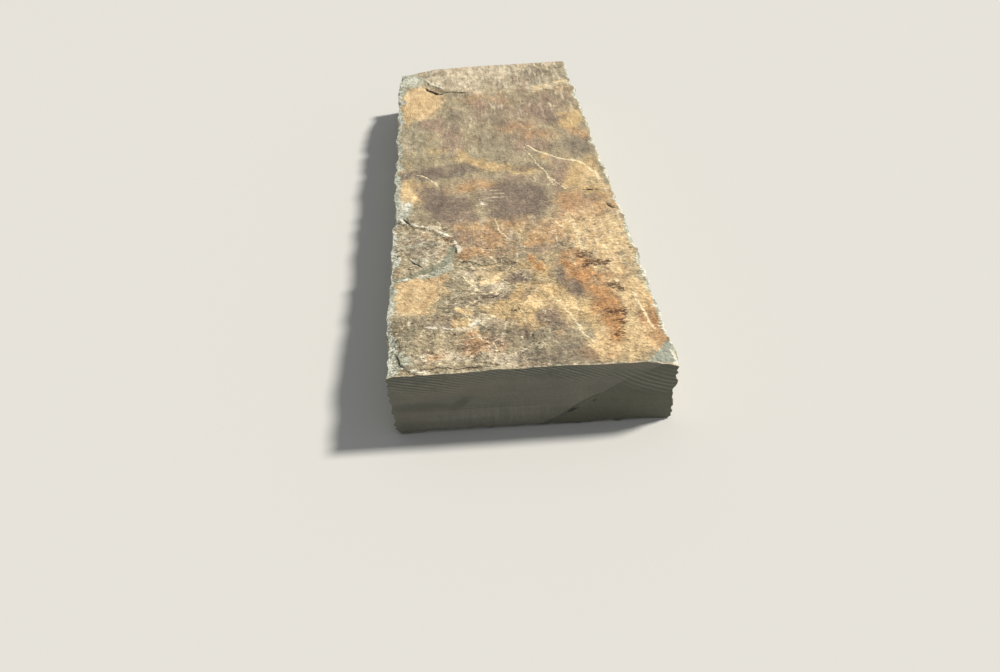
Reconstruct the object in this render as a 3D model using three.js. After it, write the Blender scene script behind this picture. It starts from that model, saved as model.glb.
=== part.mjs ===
// A slate wall cap: one slab that covers a length of a low wall's top.
// The two ends are sawn, the two long edges are split with a hammer, and the broad faces are
// the slate's own cleavage, so they carry steps, scars and flakes.
// Millimetres, +Z up. X runs across the wall and Y along it.
// The origin is at the middle of the bed, the underside that lies on the wall.

import * as THREE from "three";
import { mergeVertices } from "three/addons/utils/BufferGeometryUtils.js";

const { clamp, lerp, smoothstep } = THREE.MathUtils;

// Driving dimensions
const LENGTH = 657; // from sawn end to sawn end, 26 in
const WIDTH = 229; // between the split edges halfway along, 9 in
const TAPER = 6; // how much wider the front end is than the back one
const THICKNESS = 63.5; // bed to top, 2 1/2 in

// Partings between the beds of the slate, as heights above the bed at the middle of the length
const PARTINGS = [11, 24.5, 36, 46, 55];
const PARTING_DIP = 5; // rise of every parting from the front end to the back
const PARTING_WAVE = 2.2;
const PARTING_BLEND = 0.8; // half the height over which one bed's face runs into the next

// How far each bed stands behind the widest one, from the bottom bed to the top one
const LEFT_SETBACKS = [3.6, 3.2, 2.0, 0.6, 1.0, 0.9];
const RIGHT_SETBACKS = [1.0, 1.4, 1.7, 0.6, 1.5, 0.2];

// The scoops that the hammer left along the split edges
const SCOOP_LENGTH = 21;
const SCOOP_DEPTH = 2.1;
const SPLINTER_LENGTH = 8;
const SPLINTER_DEPTH = 1;
const END_CALM = { reach: 40, least: 0.35 }; // both are shallower in the sound stone by the sawn ends

// Bruised arrises: the chips' mean width in from each long edge, and their depth as a share of it
const LEFT_CHIP = { width: 7, slope: 0.24 };
const RIGHT_CHIP = { width: 4, slope: 0.24 };
const LOWER_CHIP = { width: 7, slope: 0.5 };
const CHIP_LENGTH = 15;
const SAWN_ARRIS_WEAR = 0.5;

// Slow waves of the cleft top
const TOP_WAVE = 0.8;
const TOP_RIPPLE = 0.35;
const BACK_RIGHT_RISE = 1.5;

// The corner at the front right is knocked off across these two distances, and this deep
const FRONT_CHIP = { x: 24, y: 31, depth: 5.6 };

// The corner at the back left is spalled away: the top falls towards it in two stages
const BACK_SAG = { x: 70, y: 78, depth: 4 };
const BACK_SPALL = { x: 44, y: 66, depth: 8 };

// Steps on the top, where thin sheets of slate came away.
// Each line is walked with its low side on the right; the drop is deepest there and ends after run.
const STEPS = [
  { name: "spall lip", depth: 2, run: 40, line: [[-67, 330], [-79, 285], [-75, 270], [-62, 256], [-56, 243], [-22, 232]] },
  { name: "left edge of the back field", depth: 0.7, run: 30, line: [[-60, 238], [-56, 200], [-59, 158]] },
  {
    name: "left scar",
    depth: 2.2,
    run: 110,
    line: [[-120, -80], [-100, -99], [-76, -110], [-57, -133], [-51, -160], [-75, -184], [-120, -202]],
  },
  { name: "lens below the scar", depth: 1, run: 45, line: [[-95, -190], [-76, -200], [-70, -222], [-78, -243], [-120, -250]] },
  { name: "wavy step", depth: 0.8, run: 25, line: [[-66, -163], [-47, -168], [-32, -176], [-14, -170], [4, -176]] },
  { name: "small shell", depth: 0.7, run: 14, line: [[-50, -228], [-40, -213], [-52, -195]] },
  { name: "round shell", depth: 0.7, run: 12, line: [[-38, -224], [-27, -226], [-18, -218], [-17, -205]] },
  { name: "right ridge", depth: 1.3, run: 22, line: [[106, -12], [98, 8], [90, 25], [60, 41], [35, 66]] },
  { name: "left ridge", depth: 0.8, run: 18, line: [[-68, -22], [-73, -8], [-92, 10]] },
  { name: "front ridge", depth: 1.1, run: 30, line: [[52, -303], [44, -283], [33, -250], [20, -214]] },
  { name: "pale streak", depth: 0.8, run: 16, line: [[103, -288], [101, -262], [98, -232]] },
  { name: "front flake", depth: 0.9, run: 8, line: [[-100, -317], [-86, -322], [-60, -324], [-34, -325]] },
  { name: "front left corner", depth: 1.8, run: 22, line: [[-120, -301], [-108, -303], [-105, -316], [-96, -324], [-86, -334]] },
];
const STEP_TAPER = 12; // a step that ends on the top fades out over this length

// The flaked lower edge of the front end: height above the bed, read across the face
const FLAKED_EDGE = [
  [-116, 2.6], [-107, 0.4], [-98, 1.7], [-86, 2.9], [-45, 3.2], [-18, 2.7], [1, 2.4],
  [25, 1.5], [35, 0.3], [52, 2], [63, 2.1], [69, 0.3], [78, 2], [88, 2.4], [99, 0.8], [116, 0.4],
];
const FLAKE_REACH = 15; // how far these flakes run in under the slab

// Mesh: cells across, along, and the share of the spacing that crowds towards the arrises
const ACROSS = 28;
const ALONG = 78;
const CROWDING = 0.5;
const LEAST_BED = 0.5; // no row of a split edge comes nearer to the next one than this
const BED_MARGIN = 17; // from the arrises in to the flat of the bed, on average
const BED_MARGIN_WAVE = 7;

const SLATE_COLOUR = 0x8d8064;

/** A repeatable value from -1 to 1 for each whole-numbered place. */
function scatter(i, j, seed) {
  let h = Math.imul(i, 374761393) ^ Math.imul(j, 668265263) ^ Math.imul(seed, 1274126177);
  h = Math.imul(h ^ (h >>> 13), 1103515245);
  h ^= h >>> 16;
  return (h >>> 0) / 2147483647.5 - 1;
}

/** Smooth bumps one unit across: scattered values blended between whole-numbered places. */
function bumps(u, v, seed) {
  const i = Math.floor(u);
  const j = Math.floor(v);
  const s = smoothstep(u - i, 0, 1);
  const t = smoothstep(v - j, 0, 1);
  const near = lerp(scatter(i, j, seed), scatter(i + 1, j, seed), s);
  const far = lerp(scatter(i, j + 1, seed), scatter(i + 1, j + 1, seed), s);
  return lerp(near, far, t);
}

/** Nearest point of a line: its distance, which side the place is on, and how far it is from the line's ends. */
function besideLine(x, y, line) {
  let best = { distance: Infinity, right: false, fromEnd: 0 };
  let total = 0;
  for (let k = 1; k < line.length; k += 1) {
    total += Math.hypot(line[k][0] - line[k - 1][0], line[k][1] - line[k - 1][1]);
  }
  let walked = 0;
  for (let k = 1; k < line.length; k += 1) {
    const [x0, y0] = line[k - 1];
    const dx = line[k][0] - x0;
    const dy = line[k][1] - y0;
    const reach = Math.hypot(dx, dy);
    const share = clamp(((x - x0) * dx + (y - y0) * dy) / (reach * reach), 0, 1);
    const distance = Math.hypot(x - x0 - share * dx, y - y0 - share * dy);
    if (distance < best.distance) {
      const along = walked + share * reach;
      best = { distance, right: dx * (y - y0) - dy * (x - x0) < 0, fromEnd: Math.min(along, total - along) };
    }
    walked += reach;
  }
  return best;
}

/** How far the top lies below its neighbour beside a step. */
function stepDrop(x, y, { line, depth, run }) {
  const { distance, right, fromEnd } = besideLine(x, y, line);
  if (!right || distance > run) {
    return 0;
  }
  const taper = clamp(fromEnd / STEP_TAPER, 0, 1);
  return depth * taper * (1 - distance / run);
}

/** A height read off a list of [place, height] pairs, straight between them. */
function readAlong(pairs, place) {
  for (let k = 1; k < pairs.length; k += 1) {
    if (place <= pairs[k][0]) {
      const [from, low] = pairs[k - 1];
      const [to, high] = pairs[k];
      return lerp(low, high, clamp((place - from) / (to - from), 0, 1));
    }
  }
  return pairs[pairs.length - 1][1];
}

/** Height of a parting on a split edge: side is -1 on the left and 1 on the right. */
function partingHeight(k, side, y) {
  return PARTINGS[k] + (PARTING_DIP * y) / LENGTH + PARTING_WAVE * bumps(y / 75, k, 31 + side);
}

/** How far one bed's face stands out from the chalked line that the edge was split along. */
function bedFace(k, side, y) {
  const setback = side < 0 ? LEFT_SETBACKS[k] : RIGHT_SETBACKS[k];
  const scoop = SCOOP_DEPTH * bumps(y / SCOOP_LENGTH, k * 0.45, 11 + side);
  const splinter = SPLINTER_DEPTH * bumps(y / SPLINTER_LENGTH, 7 * k, 17 + side);
  const calm = lerp(END_CALM.least, 1, smoothstep(LENGTH / 2 - Math.abs(y), 0, END_CALM.reach));
  return (scoop + splinter) * calm - setback;
}

/** X of a split edge at a place along it and a height on it. */
function edgeX(side, y, z) {
  let face = bedFace(0, side, y);
  for (let k = 0; k < PARTINGS.length; k += 1) {
    const above = z - partingHeight(k, side, y);
    face = lerp(face, bedFace(k + 1, side, y), smoothstep(above, -PARTING_BLEND, PARTING_BLEND));
  }
  const chalkLine = (WIDTH - (TAPER * y) / LENGTH) / 2;
  return side * (chalkLine + face);
}

/** Drop of a chipped arris at a distance in from a split edge. */
function chipDrop(inward, y, { width, slope }, seed) {
  const reach = width * (1 + 0.7 * bumps(y / CHIP_LENGTH, 0, seed));
  return slope * reach * clamp(1 - inward / reach, 0, 1) ** 2;
}

/** The two knocked and spalled corners of the top. */
function cornerDrop(x, y) {
  const half = LENGTH / 2;
  const knocked = clamp(1 + (x - WIDTH / 2) / FRONT_CHIP.x + (-half - y) / FRONT_CHIP.y, 0, 1);
  const sag = clamp(-x / BACK_SAG.x, 0, 1) * clamp(1 - (half - y) / BACK_SAG.y, 0, 1);
  const spall = clamp(1 - (x + WIDTH / 2) / BACK_SPALL.x, 0, 1) * clamp(1 - (half - y) / BACK_SPALL.y, 0, 1);
  return FRONT_CHIP.depth * knocked + BACK_SAG.depth * sag + BACK_SPALL.depth * spall;
}

/** Height of the cleft top. */
function topHeight(x, y) {
  let z = THICKNESS + TOP_WAVE * bumps(x / 90, y / 170, 3) + TOP_RIPPLE * bumps(x / 28, y / 60, 5);
  z += BACK_RIGHT_RISE * smoothstep(x, 20, 110) * smoothstep(y, 150, LENGTH / 2);
  for (const step of STEPS) {
    z -= stepDrop(x, y, step);
  }
  z -= cornerDrop(x, y);
  z -= chipDrop(x - edgeX(-1, y, THICKNESS), y, LEFT_CHIP, 41);
  z -= chipDrop(edgeX(1, y, THICKNESS) - x, y, RIGHT_CHIP, 43);
  z -= SAWN_ARRIS_WEAR * clamp(1 - (LENGTH / 2 - Math.abs(y)) / 3, 0, 1) * (1 + bumps(x / 14, y, 47));
  return z;
}

/** Height of the underside: flat at 0, with flakes lost around its border. */
function bedHeight(x, y) {
  const flaked = readAlong(FLAKED_EDGE, y < 0 ? x : -x);
  const fade = clamp(1 - (LENGTH / 2 - Math.abs(y)) / FLAKE_REACH, 0, 1);
  const left = chipDrop(x - edgeX(-1, y, 0), y, LOWER_CHIP, 53);
  const right = chipDrop(edgeX(1, y, 0) - x, y, LOWER_CHIP, 59);
  return flaked * fade ** 2 + left + right;
}

/** Shares from 0 to 1 in count steps, closer together towards both ends. */
function crowded(count) {
  return Array.from({ length: count + 1 }, (_, i) => {
    const even = i / count;
    return lerp(even, 0.5 - 0.5 * Math.cos(Math.PI * even), CROWDING);
  });
}

function topPoint(share, y) {
  const x = lerp(edgeX(-1, y, THICKNESS), edgeX(1, y, THICKNESS), share);
  return new THREE.Vector3(x, y, topHeight(x, y));
}

function bedPoint(share, y) {
  const x = lerp(edgeX(-1, y, 0), edgeX(1, y, 0), share);
  return new THREE.Vector3(x, y, bedHeight(x, y));
}

/** One upright row of points on a split edge, from the lower arris to the upper one. */
function edgeColumn(side, y) {
  const share = (side + 1) / 2;
  const foot = bedPoint(share, y);
  const head = topPoint(share, y);
  const heights = PARTINGS.flatMap((_, k) => {
    const parting = partingHeight(k, side, y);
    return [parting - 1.1 * PARTING_BLEND, parting + 1.1 * PARTING_BLEND];
  });
  const between = heights.map((height, k) => {
    const low = foot.z + LEAST_BED * (k + 1);
    const high = head.z - LEAST_BED * (heights.length - k);
    const z = clamp(height, low, high);
    return new THREE.Vector3(edgeX(side, y, z), y, z);
  });
  return [foot, ...between, head];
}

/** Two triangles for each cell between neighbouring rows of points. */
function addGrid(corners, rows, inward) {
  for (let j = 1; j < rows.length; j += 1) {
    for (let i = 1; i < rows[j].length; i += 1) {
      const [a, b, c, d] = [rows[j - 1][i - 1], rows[j - 1][i], rows[j][i], rows[j][i - 1]];
      corners.push(...(inward ? [a, c, b, a, d, c] : [a, b, c, a, c, d]));
    }
  }
}

/** A flat face inside a loop of points, triangulated in the plane of the two named axes. */
function addFlat(corners, loop, axes, inward) {
  const flat = loop.map((point) => new THREE.Vector2(point[axes[0]], point[axes[1]]));
  for (const [i, j, k] of THREE.ShapeUtils.triangulateShape(flat, [])) {
    const turn = flat[j].clone().sub(flat[i]).cross(flat[k].clone().sub(flat[i]));
    const anticlockwise = turn > 0;
    corners.push(...(anticlockwise !== inward ? [loop[i], loop[j], loop[k]] : [loop[i], loop[k], loop[j]]));
  }
}

/** The slab as one closed surface: top, two split edges, two sawn ends, and the bed. */
function wallCapGeometry() {
  const across = crowded(ACROSS);
  const along = crowded(ALONG).map((share) => (share - 0.5) * LENGTH);
  const last = along.length - 1;
  const top = along.map((y) => across.map((share) => topPoint(share, y)));
  const bed = along.map((y) => across.map((share) => bedPoint(share, y)));
  const left = along.map((y) => edgeColumn(-1, y));
  const right = along.map((y) => edgeColumn(1, y));

  const corners = [];
  addGrid(corners, top, false);
  addGrid(corners, left, false);
  addGrid(corners, right, true);
  for (const [end, inward] of [[0, false], [last, true]]) {
    const rightUp = right[end].slice(1, -1);
    const leftDown = left[end].slice(1, -1).reverse();
    addFlat(corners, [...bed[end], ...rightUp, ...top[end].toReversed(), ...leftDown], ["x", "z"], inward);
  }

  const border = [
    ...bed[0],
    ...bed.slice(1, -1).map((row) => row[ACROSS]),
    ...bed[last].toReversed(),
    ...bed.slice(1, -1).map((row) => row[0]).reverse(),
  ];
  const flat = border.map(({ x, y }) => {
    const margin = BED_MARGIN + BED_MARGIN_WAVE * bumps(x / 30, y / 30, 61);
    return new THREE.Vector3(x * (1 - (2 * margin) / WIDTH), y * (1 - (2 * margin) / LENGTH), 0);
  });
  addGrid(corners, [[...border, border[0]], [...flat, flat[0]]], true);
  addFlat(corners, flat, ["x", "y"], true);

  const loose = new THREE.BufferGeometry().setFromPoints(corners);
  const geometry = mergeVertices(loose);
  geometry.computeVertexNormals();
  return geometry;
}

function makeWallCap() {
  const slate = new THREE.MeshStandardMaterial({
    color: SLATE_COLOUR,
    roughness: 0.85,
    metalness: 0,
    flatShading: true,
  });
  const cap = new THREE.Mesh(wallCapGeometry(), slate);
  cap.name = "wall_cap";
  return cap;
}

const part = new THREE.Group();
part.add(makeWallCap());

export default part;
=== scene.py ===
"""A slate wall cap: one slab of natural cleft slate with its weathering, split edges and sawn ends.

Metres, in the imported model's frame: X across the wall, Y along it, +Z up, the bed at Z = 0.
"""
import math

import bpy
import numpy as np
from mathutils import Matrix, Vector


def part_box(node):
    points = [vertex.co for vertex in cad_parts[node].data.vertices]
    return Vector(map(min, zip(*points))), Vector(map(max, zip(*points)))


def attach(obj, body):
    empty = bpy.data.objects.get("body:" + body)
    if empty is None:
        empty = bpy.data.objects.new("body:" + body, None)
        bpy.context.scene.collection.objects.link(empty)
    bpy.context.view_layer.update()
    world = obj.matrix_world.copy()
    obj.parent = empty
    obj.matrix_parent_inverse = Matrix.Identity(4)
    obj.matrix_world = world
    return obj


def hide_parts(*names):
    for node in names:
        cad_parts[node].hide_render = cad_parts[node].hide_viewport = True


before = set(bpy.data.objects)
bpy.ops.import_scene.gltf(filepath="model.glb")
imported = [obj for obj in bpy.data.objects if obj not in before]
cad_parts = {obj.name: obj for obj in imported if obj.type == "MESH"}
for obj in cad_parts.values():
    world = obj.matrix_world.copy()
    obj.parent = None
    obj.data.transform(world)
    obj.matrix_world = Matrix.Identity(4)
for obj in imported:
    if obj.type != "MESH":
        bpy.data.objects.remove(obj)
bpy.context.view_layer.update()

# Driving sizes of the slab
LOW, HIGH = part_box("wall_cap")
LENGTH = HIGH.y - LOW.y
WIDTH = 0.229
TAPER = 0.006  # how much wider the front end is than the back one
THICKNESS = 0.0635

# Cells of the mesh: across, along, up the edges, and across and along the coarser underside
ACROSS, ALONG, UP = 130, 372, 38
BED_ACROSS, BED_ALONG = 44, 126
CROWDING = 0.3  # share of the spacing that crowds towards the arrises
BED_MARGIN = 0.004  # from the lower arrises in to the underside's own grid
SHARP_ANGLE = 38  # degrees between two faces, past which they are shaded with an arris between them

# Partings between the beds, as heights on the split edges, and how far each bed stands back
PARTINGS = (0.011, 0.0245, 0.036, 0.046, 0.055)
PARTING_DIP = 0.005
PARTING_WAVE, PARTING_WAVE_LENGTH = 0.0022, 0.075
PARTING_BLEND = 0.0008
SETBACKS = {
    -1: (0.0036, 0.0032, 0.0020, 0.0006, 0.0010, 0.0009),
    1: (0.0010, 0.0014, 0.0017, 0.0006, 0.0015, 0.0002),
}
SCOOP_LENGTH, SCOOP_DEPTH = 0.021, 0.0021
SPLINTER_LENGTH, SPLINTER_DEPTH = 0.008, 0.0010
SCOOP_SHIFT, SPLINTER_SHIFT = 0.45, 7  # how far both change from bed to bed, in lengths of their own
END_REACH, END_LEAST = 0.040, 0.35  # scoops are shallower near the sawn ends

# Fine laminae of the split edges, the splinters over them and the pits
LAMINA = 0.0031
LAMINA_DIP = 0.10
LAMINA_DEPTH = 0.0012
LAMINA_LENGTH = 0.016
LAMINA_SHIFT = 5.3  # how far the bumps of one layer stand from those of the next, in lengths of their own
LAMINA_EDGE = 0.7  # share of its height at which a layer starts to run into the next
LAMINA_WANDER = (0.8, 0.045, 0.020)  # how many layers they wander, and the length and height of the waves
THIN_SPLINTER = (0.0007, 0.011, 0.0055, 0.25)  # depth, length, height and slope
PIT = (0.0018, 0.0125, 0.0040)  # depth, length and height
PIT_PEAKS = (0.60, 0.95)  # noise at which a pit starts and is deepest

# Chipped arrises: mean width of the chips, their depth as a share of it, and the seed of their noise
LEFT_CHIP = (0.007, 0.24, 41)
RIGHT_CHIP = (0.004, 0.24, 43)
LEFT_LOWER_CHIP = (0.007, 0.5, 53)
RIGHT_LOWER_CHIP = (0.007, 0.5, 59)
CHIP_LENGTH, CHIP_SPREAD = 0.015, 0.7
NICK_LENGTH, NICK_SPREAD = 0.005, 0.2
SAWN_ARRIS_WEAR = 0.0005
SAWN_ARRIS_REACH = 0.003
SAWN_ARRIS_CHIP = (0.014, 0.001)  # size along the arris and across it

# Waves of the cleft top: height, and size across and along
TOP_WAVE, TOP_WAVE_SIZE = 0.0008, (0.090, 0.170)
TOP_RIPPLE, TOP_RIPPLE_SIZE = 0.00035, (0.028, 0.060)
BACK_RIGHT_RISE = 0.0015
RISE_ACROSS, RISE_ALONG = (0.020, 0.110), (0.150, LENGTH / 2)  # where it starts and ends

# Relief of a cleavage face: height, and size across and along. Sheets and shells also have how many levels
# their noise climbs through, and the share of a level that its rim takes.
SHEET, SHEET_SIZE, SHEET_LEVELS, SHEET_RIM = 0.00042, (0.060, 0.110), 2.2, 0.16
BED_SHEET_SIZE, BED_SHEET_LEVELS, BED_SHEET_RIM = (0.070, 0.090), 2.0, 0.2
SHELL, SHELL_SIZE, SHELL_LEVELS, SHELL_RIM = 0.00058, (0.017, 0.015), 2.0, 0.2
NUB, NUB_SIZE = 0.00034, (0.0085, 0.0110)
FIBRE, FIBRE_SIZE = 0.00012, (0.0045, 0.050)
DENT, DENT_SIZE = 0.0005, (0.0048, 0.0062)
DENT_PEAKS = (0.62, 0.90)  # noise at which a dent starts and is deepest
CLEFT_REACH, CLEFT_LEAST = 0.018, 0.35  # the relief is lower by the sawn ends

# Where the cleavage has most shells: in front of a corner and left of it, and in the scar, but not on the
# buff patch. Each has a fade from none to all, in metres or in shares of its half sizes.
SHELLY_CORNER, SHELLY_ACROSS, SHELLY_ALONG = (0.015, -0.13), (-0.035, 0.025), (-0.03, 0.04)
SHELLY_SCAR, SHELLY_SCAR_EDGE = (-0.088, -0.135, 0.040, 0.048), (0.7, 1.1)
SMOOTH_PATCH, SMOOTH_PATCH_EDGE = (-0.092, -0.221, 0.027, 0.032), (0.8, 1.1)
FEWEST_SHELLS, FEWEST_NUBS = 0.15, 0.35

# Corners: distance across, distance along, and depth
FRONT_CHIP = (0.024, 0.031, 0.0056)
KNOCK_RIPPLES = (0.05, 16)  # height as a share of the chip's depth, and their turn across it in radians
BACK_SAG = (0.070, 0.078, 0.004)
BACK_SPALL = (0.044, 0.066, 0.008)
SPALL_ROUGHNESS, SPALL_ROUGH_SIZE = 0.12, (0.020, 0.020)

# Steps where thin sheets came away, walked with the low side on the right: depth, run, line
STEPS = {
    "spall lip": (
        0.002, 0.04,
        ((-0.067, 0.33), (-0.079, 0.285), (-0.075, 0.27), (-0.062, 0.256), (-0.056, 0.243), (-0.048, 0.24)),
    ),
    "lip running out": (0.0008, 0.016, ((-0.06, 0.246), (-0.052, 0.241), (-0.036, 0.236), (-0.018, 0.231))),
    "left edge of the back field": (0.0007, 0.03, ((-0.06, 0.238), (-0.056, 0.2), (-0.059, 0.158))),
    "left scar": (
        0.0022, 0.11,
        (
            (-0.12, -0.08), (-0.1, -0.099), (-0.076, -0.11), (-0.057, -0.133), (-0.051, -0.16),
            (-0.075, -0.184), (-0.12, -0.202),
        ),
    ),
    "lens below the scar": (
        0.0013, 0.045,
        ((-0.095, -0.19), (-0.076, -0.2), (-0.07, -0.222), (-0.078, -0.243), (-0.12, -0.25)),
    ),
    "wavy step": (
        0.0012, 0.025,
        ((-0.066, -0.163), (-0.047, -0.168), (-0.032, -0.176), (-0.014, -0.17), (0.004, -0.176)),
    ),
    "small shell": (0.0012, 0.014, ((-0.05, -0.228), (-0.04, -0.213), (-0.052, -0.195))),
    "round shell": (
        0.0012, 0.012,
        ((-0.038, -0.224), (-0.027, -0.226), (-0.018, -0.218), (-0.017, -0.205)),
    ),
    "right ridge": (
        0.0017, 0.022,
        ((0.106, -0.012), (0.098, 0.008), (0.09, 0.025), (0.06, 0.041), (0.035, 0.066)),
    ),
    "left ridge": (0.0008, 0.018, ((-0.068, -0.022), (-0.073, -0.008), (-0.092, 0.01))),
    "front ridge": (0.0011, 0.03, ((0.052, -0.303), (0.044, -0.283), (0.033, -0.25), (0.02, -0.214))),
    "pale streak": (0.0008, 0.016, ((0.103, -0.288), (0.101, -0.262), (0.098, -0.232))),
    "front flake": (0.0009, 0.008, ((-0.1, -0.317), (-0.086, -0.322), (-0.06, -0.324), (-0.034, -0.325))),
    "front left corner": (
        0.0018, 0.022,
        ((-0.12, -0.301), (-0.108, -0.303), (-0.105, -0.316), (-0.096, -0.324), (-0.086, -0.334)),
    ),
}
STEP_TAPER = 0.012
STEP_FACE = (-0.0002, 0.0012)  # from where a step's face starts, just behind its line, to its foot

# Open cracks of the top, painted near-black as their shadow, some only a step's shadow line: half width,
# depth, line
CRACKS = {
    "under the spall lip": (
        0.0042, 0.0046,
        ((-0.078, 0.259), (-0.073, 0.252), (-0.067, 0.245), (-0.059, 0.236)),
    ),
    "running out of it": (0.0008, 0.0006, ((-0.058, 0.241), (-0.045, 0.237), (-0.024, 0.232))),
    "beside the buff patch": (0.0006, 0.0008, ((-0.106, 0.263), (-0.101, 0.251))),
    "across the scar": (0.0008, 0.0014, ((-0.097, -0.161), (-0.091, -0.168), (-0.0855, -0.176))),
    "at the scar's top": (0.0011, 0.0022, ((-0.105, -0.084), (-0.101, -0.092), (-0.097, -0.101))),
    "by the right edge": (0.0015, 0.003, ((0.083, -0.041), (0.09, -0.0405), (0.098, -0.042))),
    "on the right arris": (0.0014, 0.003, ((0.102, -0.073), (0.104, -0.079), (0.109, -0.083))),
    "round the front left corner": (0.0005, 0.0006, ((-0.108, -0.303), (-0.105, -0.316), (-0.096, -0.324))),
    "along the front flake": (0.0004, 0.0005, ((-0.09, -0.321), (-0.06, -0.324), (-0.034, -0.325))),
    "along the wavy step": (
        0.0003, 0.0003,
        ((-0.06, -0.164), (-0.047, -0.168), (-0.032, -0.176), (-0.016, -0.171)),
    ),
    "below the round shell": (0.0005, 0.0003, ((-0.036, -0.227), (-0.027, -0.229), (-0.016, -0.22))),
    "short one by the rust": (0.0006, 0.0006, ((0.042, -0.142), (0.046, -0.148), (0.05, -0.153))),
}
CRACK_LEAST = 0.0009  # the narrowest half width that the mesh can hold
CRACK_TAPER, CRACK_TIP = 0.003, 0.3  # a crack grows shallower over this length, to this share at its tips

# Crests painted pale along their length as highlight where they catch light, and some pale streaks: half
# width and line
CRESTS = {
    "right ridge": (0.0019, ((0.035, 0.066), (0.046, 0.053), (0.06, 0.041), (0.075, 0.033))),
    "right ridge, middle": (0.0034, ((0.066, 0.037), (0.078, 0.031), (0.09, 0.026), (0.095, 0.016))),
    "right ridge, lower": (0.0024, ((0.093, 0.02), (0.099, 0.008), (0.104, -0.004), (0.104, -0.018))),
    "left ridge": (0.0012, ((-0.093, 0.011), (-0.08, 0.0), (-0.072, -0.009), (-0.068, -0.022))),
    "long scratch": (0.0006, ((0.031, 0.06), (0.042, 0.02), (0.05, -0.006), (0.053, -0.03))),
    "long scratch beside it": (0.0006, ((0.033, 0.05), (0.052, -0.01), (0.065, -0.041))),
    "front ridge": (0.0009, ((0.028, -0.232), (0.034, -0.25), (0.043, -0.28), (0.052, -0.3))),
    "pale streak": (0.0015, ((0.098, -0.232), (0.101, -0.262), (0.103, -0.288))),
    "small shell": (
        0.0008,
        ((-0.053, -0.192), (-0.046, -0.204), (-0.04, -0.213), (-0.043, -0.223), (-0.052, -0.228)),
    ),
    "round shell": (0.0008, ((-0.037, -0.223), (-0.027, -0.225), (-0.018, -0.217), (-0.017, -0.207))),
    "shell below it": (0.0005, ((-0.06, -0.246), (-0.05, -0.243), (-0.041, -0.234), (-0.036, -0.228))),
    "shell by the chalky spot": (
        0.0005,
        ((-0.052, -0.252), (-0.046, -0.262), (-0.034, -0.264), (-0.024, -0.254)),
    ),
    "low shell": (0.0005, ((-0.056, -0.287), (-0.042, -0.284), (-0.033, -0.294), (-0.035, -0.306))),
    "lens's lower border": (0.0005, ((-0.07, -0.212), (-0.074, -0.228), (-0.083, -0.243), (-0.106, -0.25))),
    "low shell, right": (0.0005, ((-0.03, -0.318), (-0.027, -0.304), (-0.031, -0.294), (-0.024, -0.288))),
    "upper shells": (0.0005, ((-0.064, -0.176), (-0.054, -0.172), (-0.047, -0.178), (-0.036, -0.176))),
    "streak above the rust": (0.0006, ((0.04, -0.09), (0.046, -0.106), (0.054, -0.124))),
    "streak by the cream field": (0.0009, ((0.061, -0.108), (0.063, -0.132), (0.062, -0.158))),
    "nick in the middle": (0.0009, ((-0.012, -0.096), (-0.012, -0.112), (-0.004, -0.132))),
    "back right streaks": (0.0008, ((0.086, 0.325), (0.088, 0.304))),
    "back right streaks, second": (0.0007, ((0.098, 0.326), (0.101, 0.308))),
    "back right streaks, third": (0.0006, ((0.072, 0.326), (0.073, 0.312))),
    "cross streak": (0.0009, ((0.056, 0.242), (0.078, 0.246), (0.102, 0.252))),
    "cross streak, lower": (0.0008, ((0.06, 0.231), (0.085, 0.233), (0.108, 0.236))),
}

# Crushed white stone: half width and line
BRUISES = {
    "scar's upper border": (
        0.0014,
        ((-0.111, -0.084), (-0.099, -0.097), (-0.083, -0.104), (-0.075, -0.109)),
    ),
    "scar's right border": (0.0013, ((-0.075, -0.109), (-0.064, -0.12), (-0.056, -0.13), (-0.051, -0.15))),
    "lens's upper border": (0.0013, ((-0.106, -0.197), (-0.094, -0.192), (-0.078, -0.19))),
    "spall lip": (0.0019, ((-0.077, 0.288), (-0.074, 0.276), (-0.065, 0.263), (-0.058, 0.252))),
    "spall lip, upper": (0.0009, ((-0.069, 0.318), (-0.071, 0.306), (-0.078, 0.29))),
    "left notch": (0.0038, ((-0.11, -0.05), (-0.108, -0.066), (-0.111, -0.078))),
    "left notch, inside it": (0.0028, ((-0.1, -0.054), (-0.103, -0.066), (-0.106, -0.074))),
    "chalky streak": (0.0009, ((-0.084, -0.27), (-0.07, -0.271), (-0.052, -0.272), (-0.036, -0.262))),
    "chalky spot": (0.0028, ((-0.06, -0.272), (-0.055, -0.273))),
    "speck": (0.002, ((-0.026, -0.056), (-0.024, -0.064))),
    "front left corner": (0.0012, ((-0.106, -0.318), (-0.096, -0.323), (-0.08, -0.326))),
}

# The smooth ledge at the foot of the scar: half width and line
LEDGE_LINE = ((-0.057, -0.14), (-0.062, -0.16), (-0.078, -0.18), (-0.098, -0.191), (-0.116, -0.199))
LEDGE = ((0.0045, LEDGE_LINE),)

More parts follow.
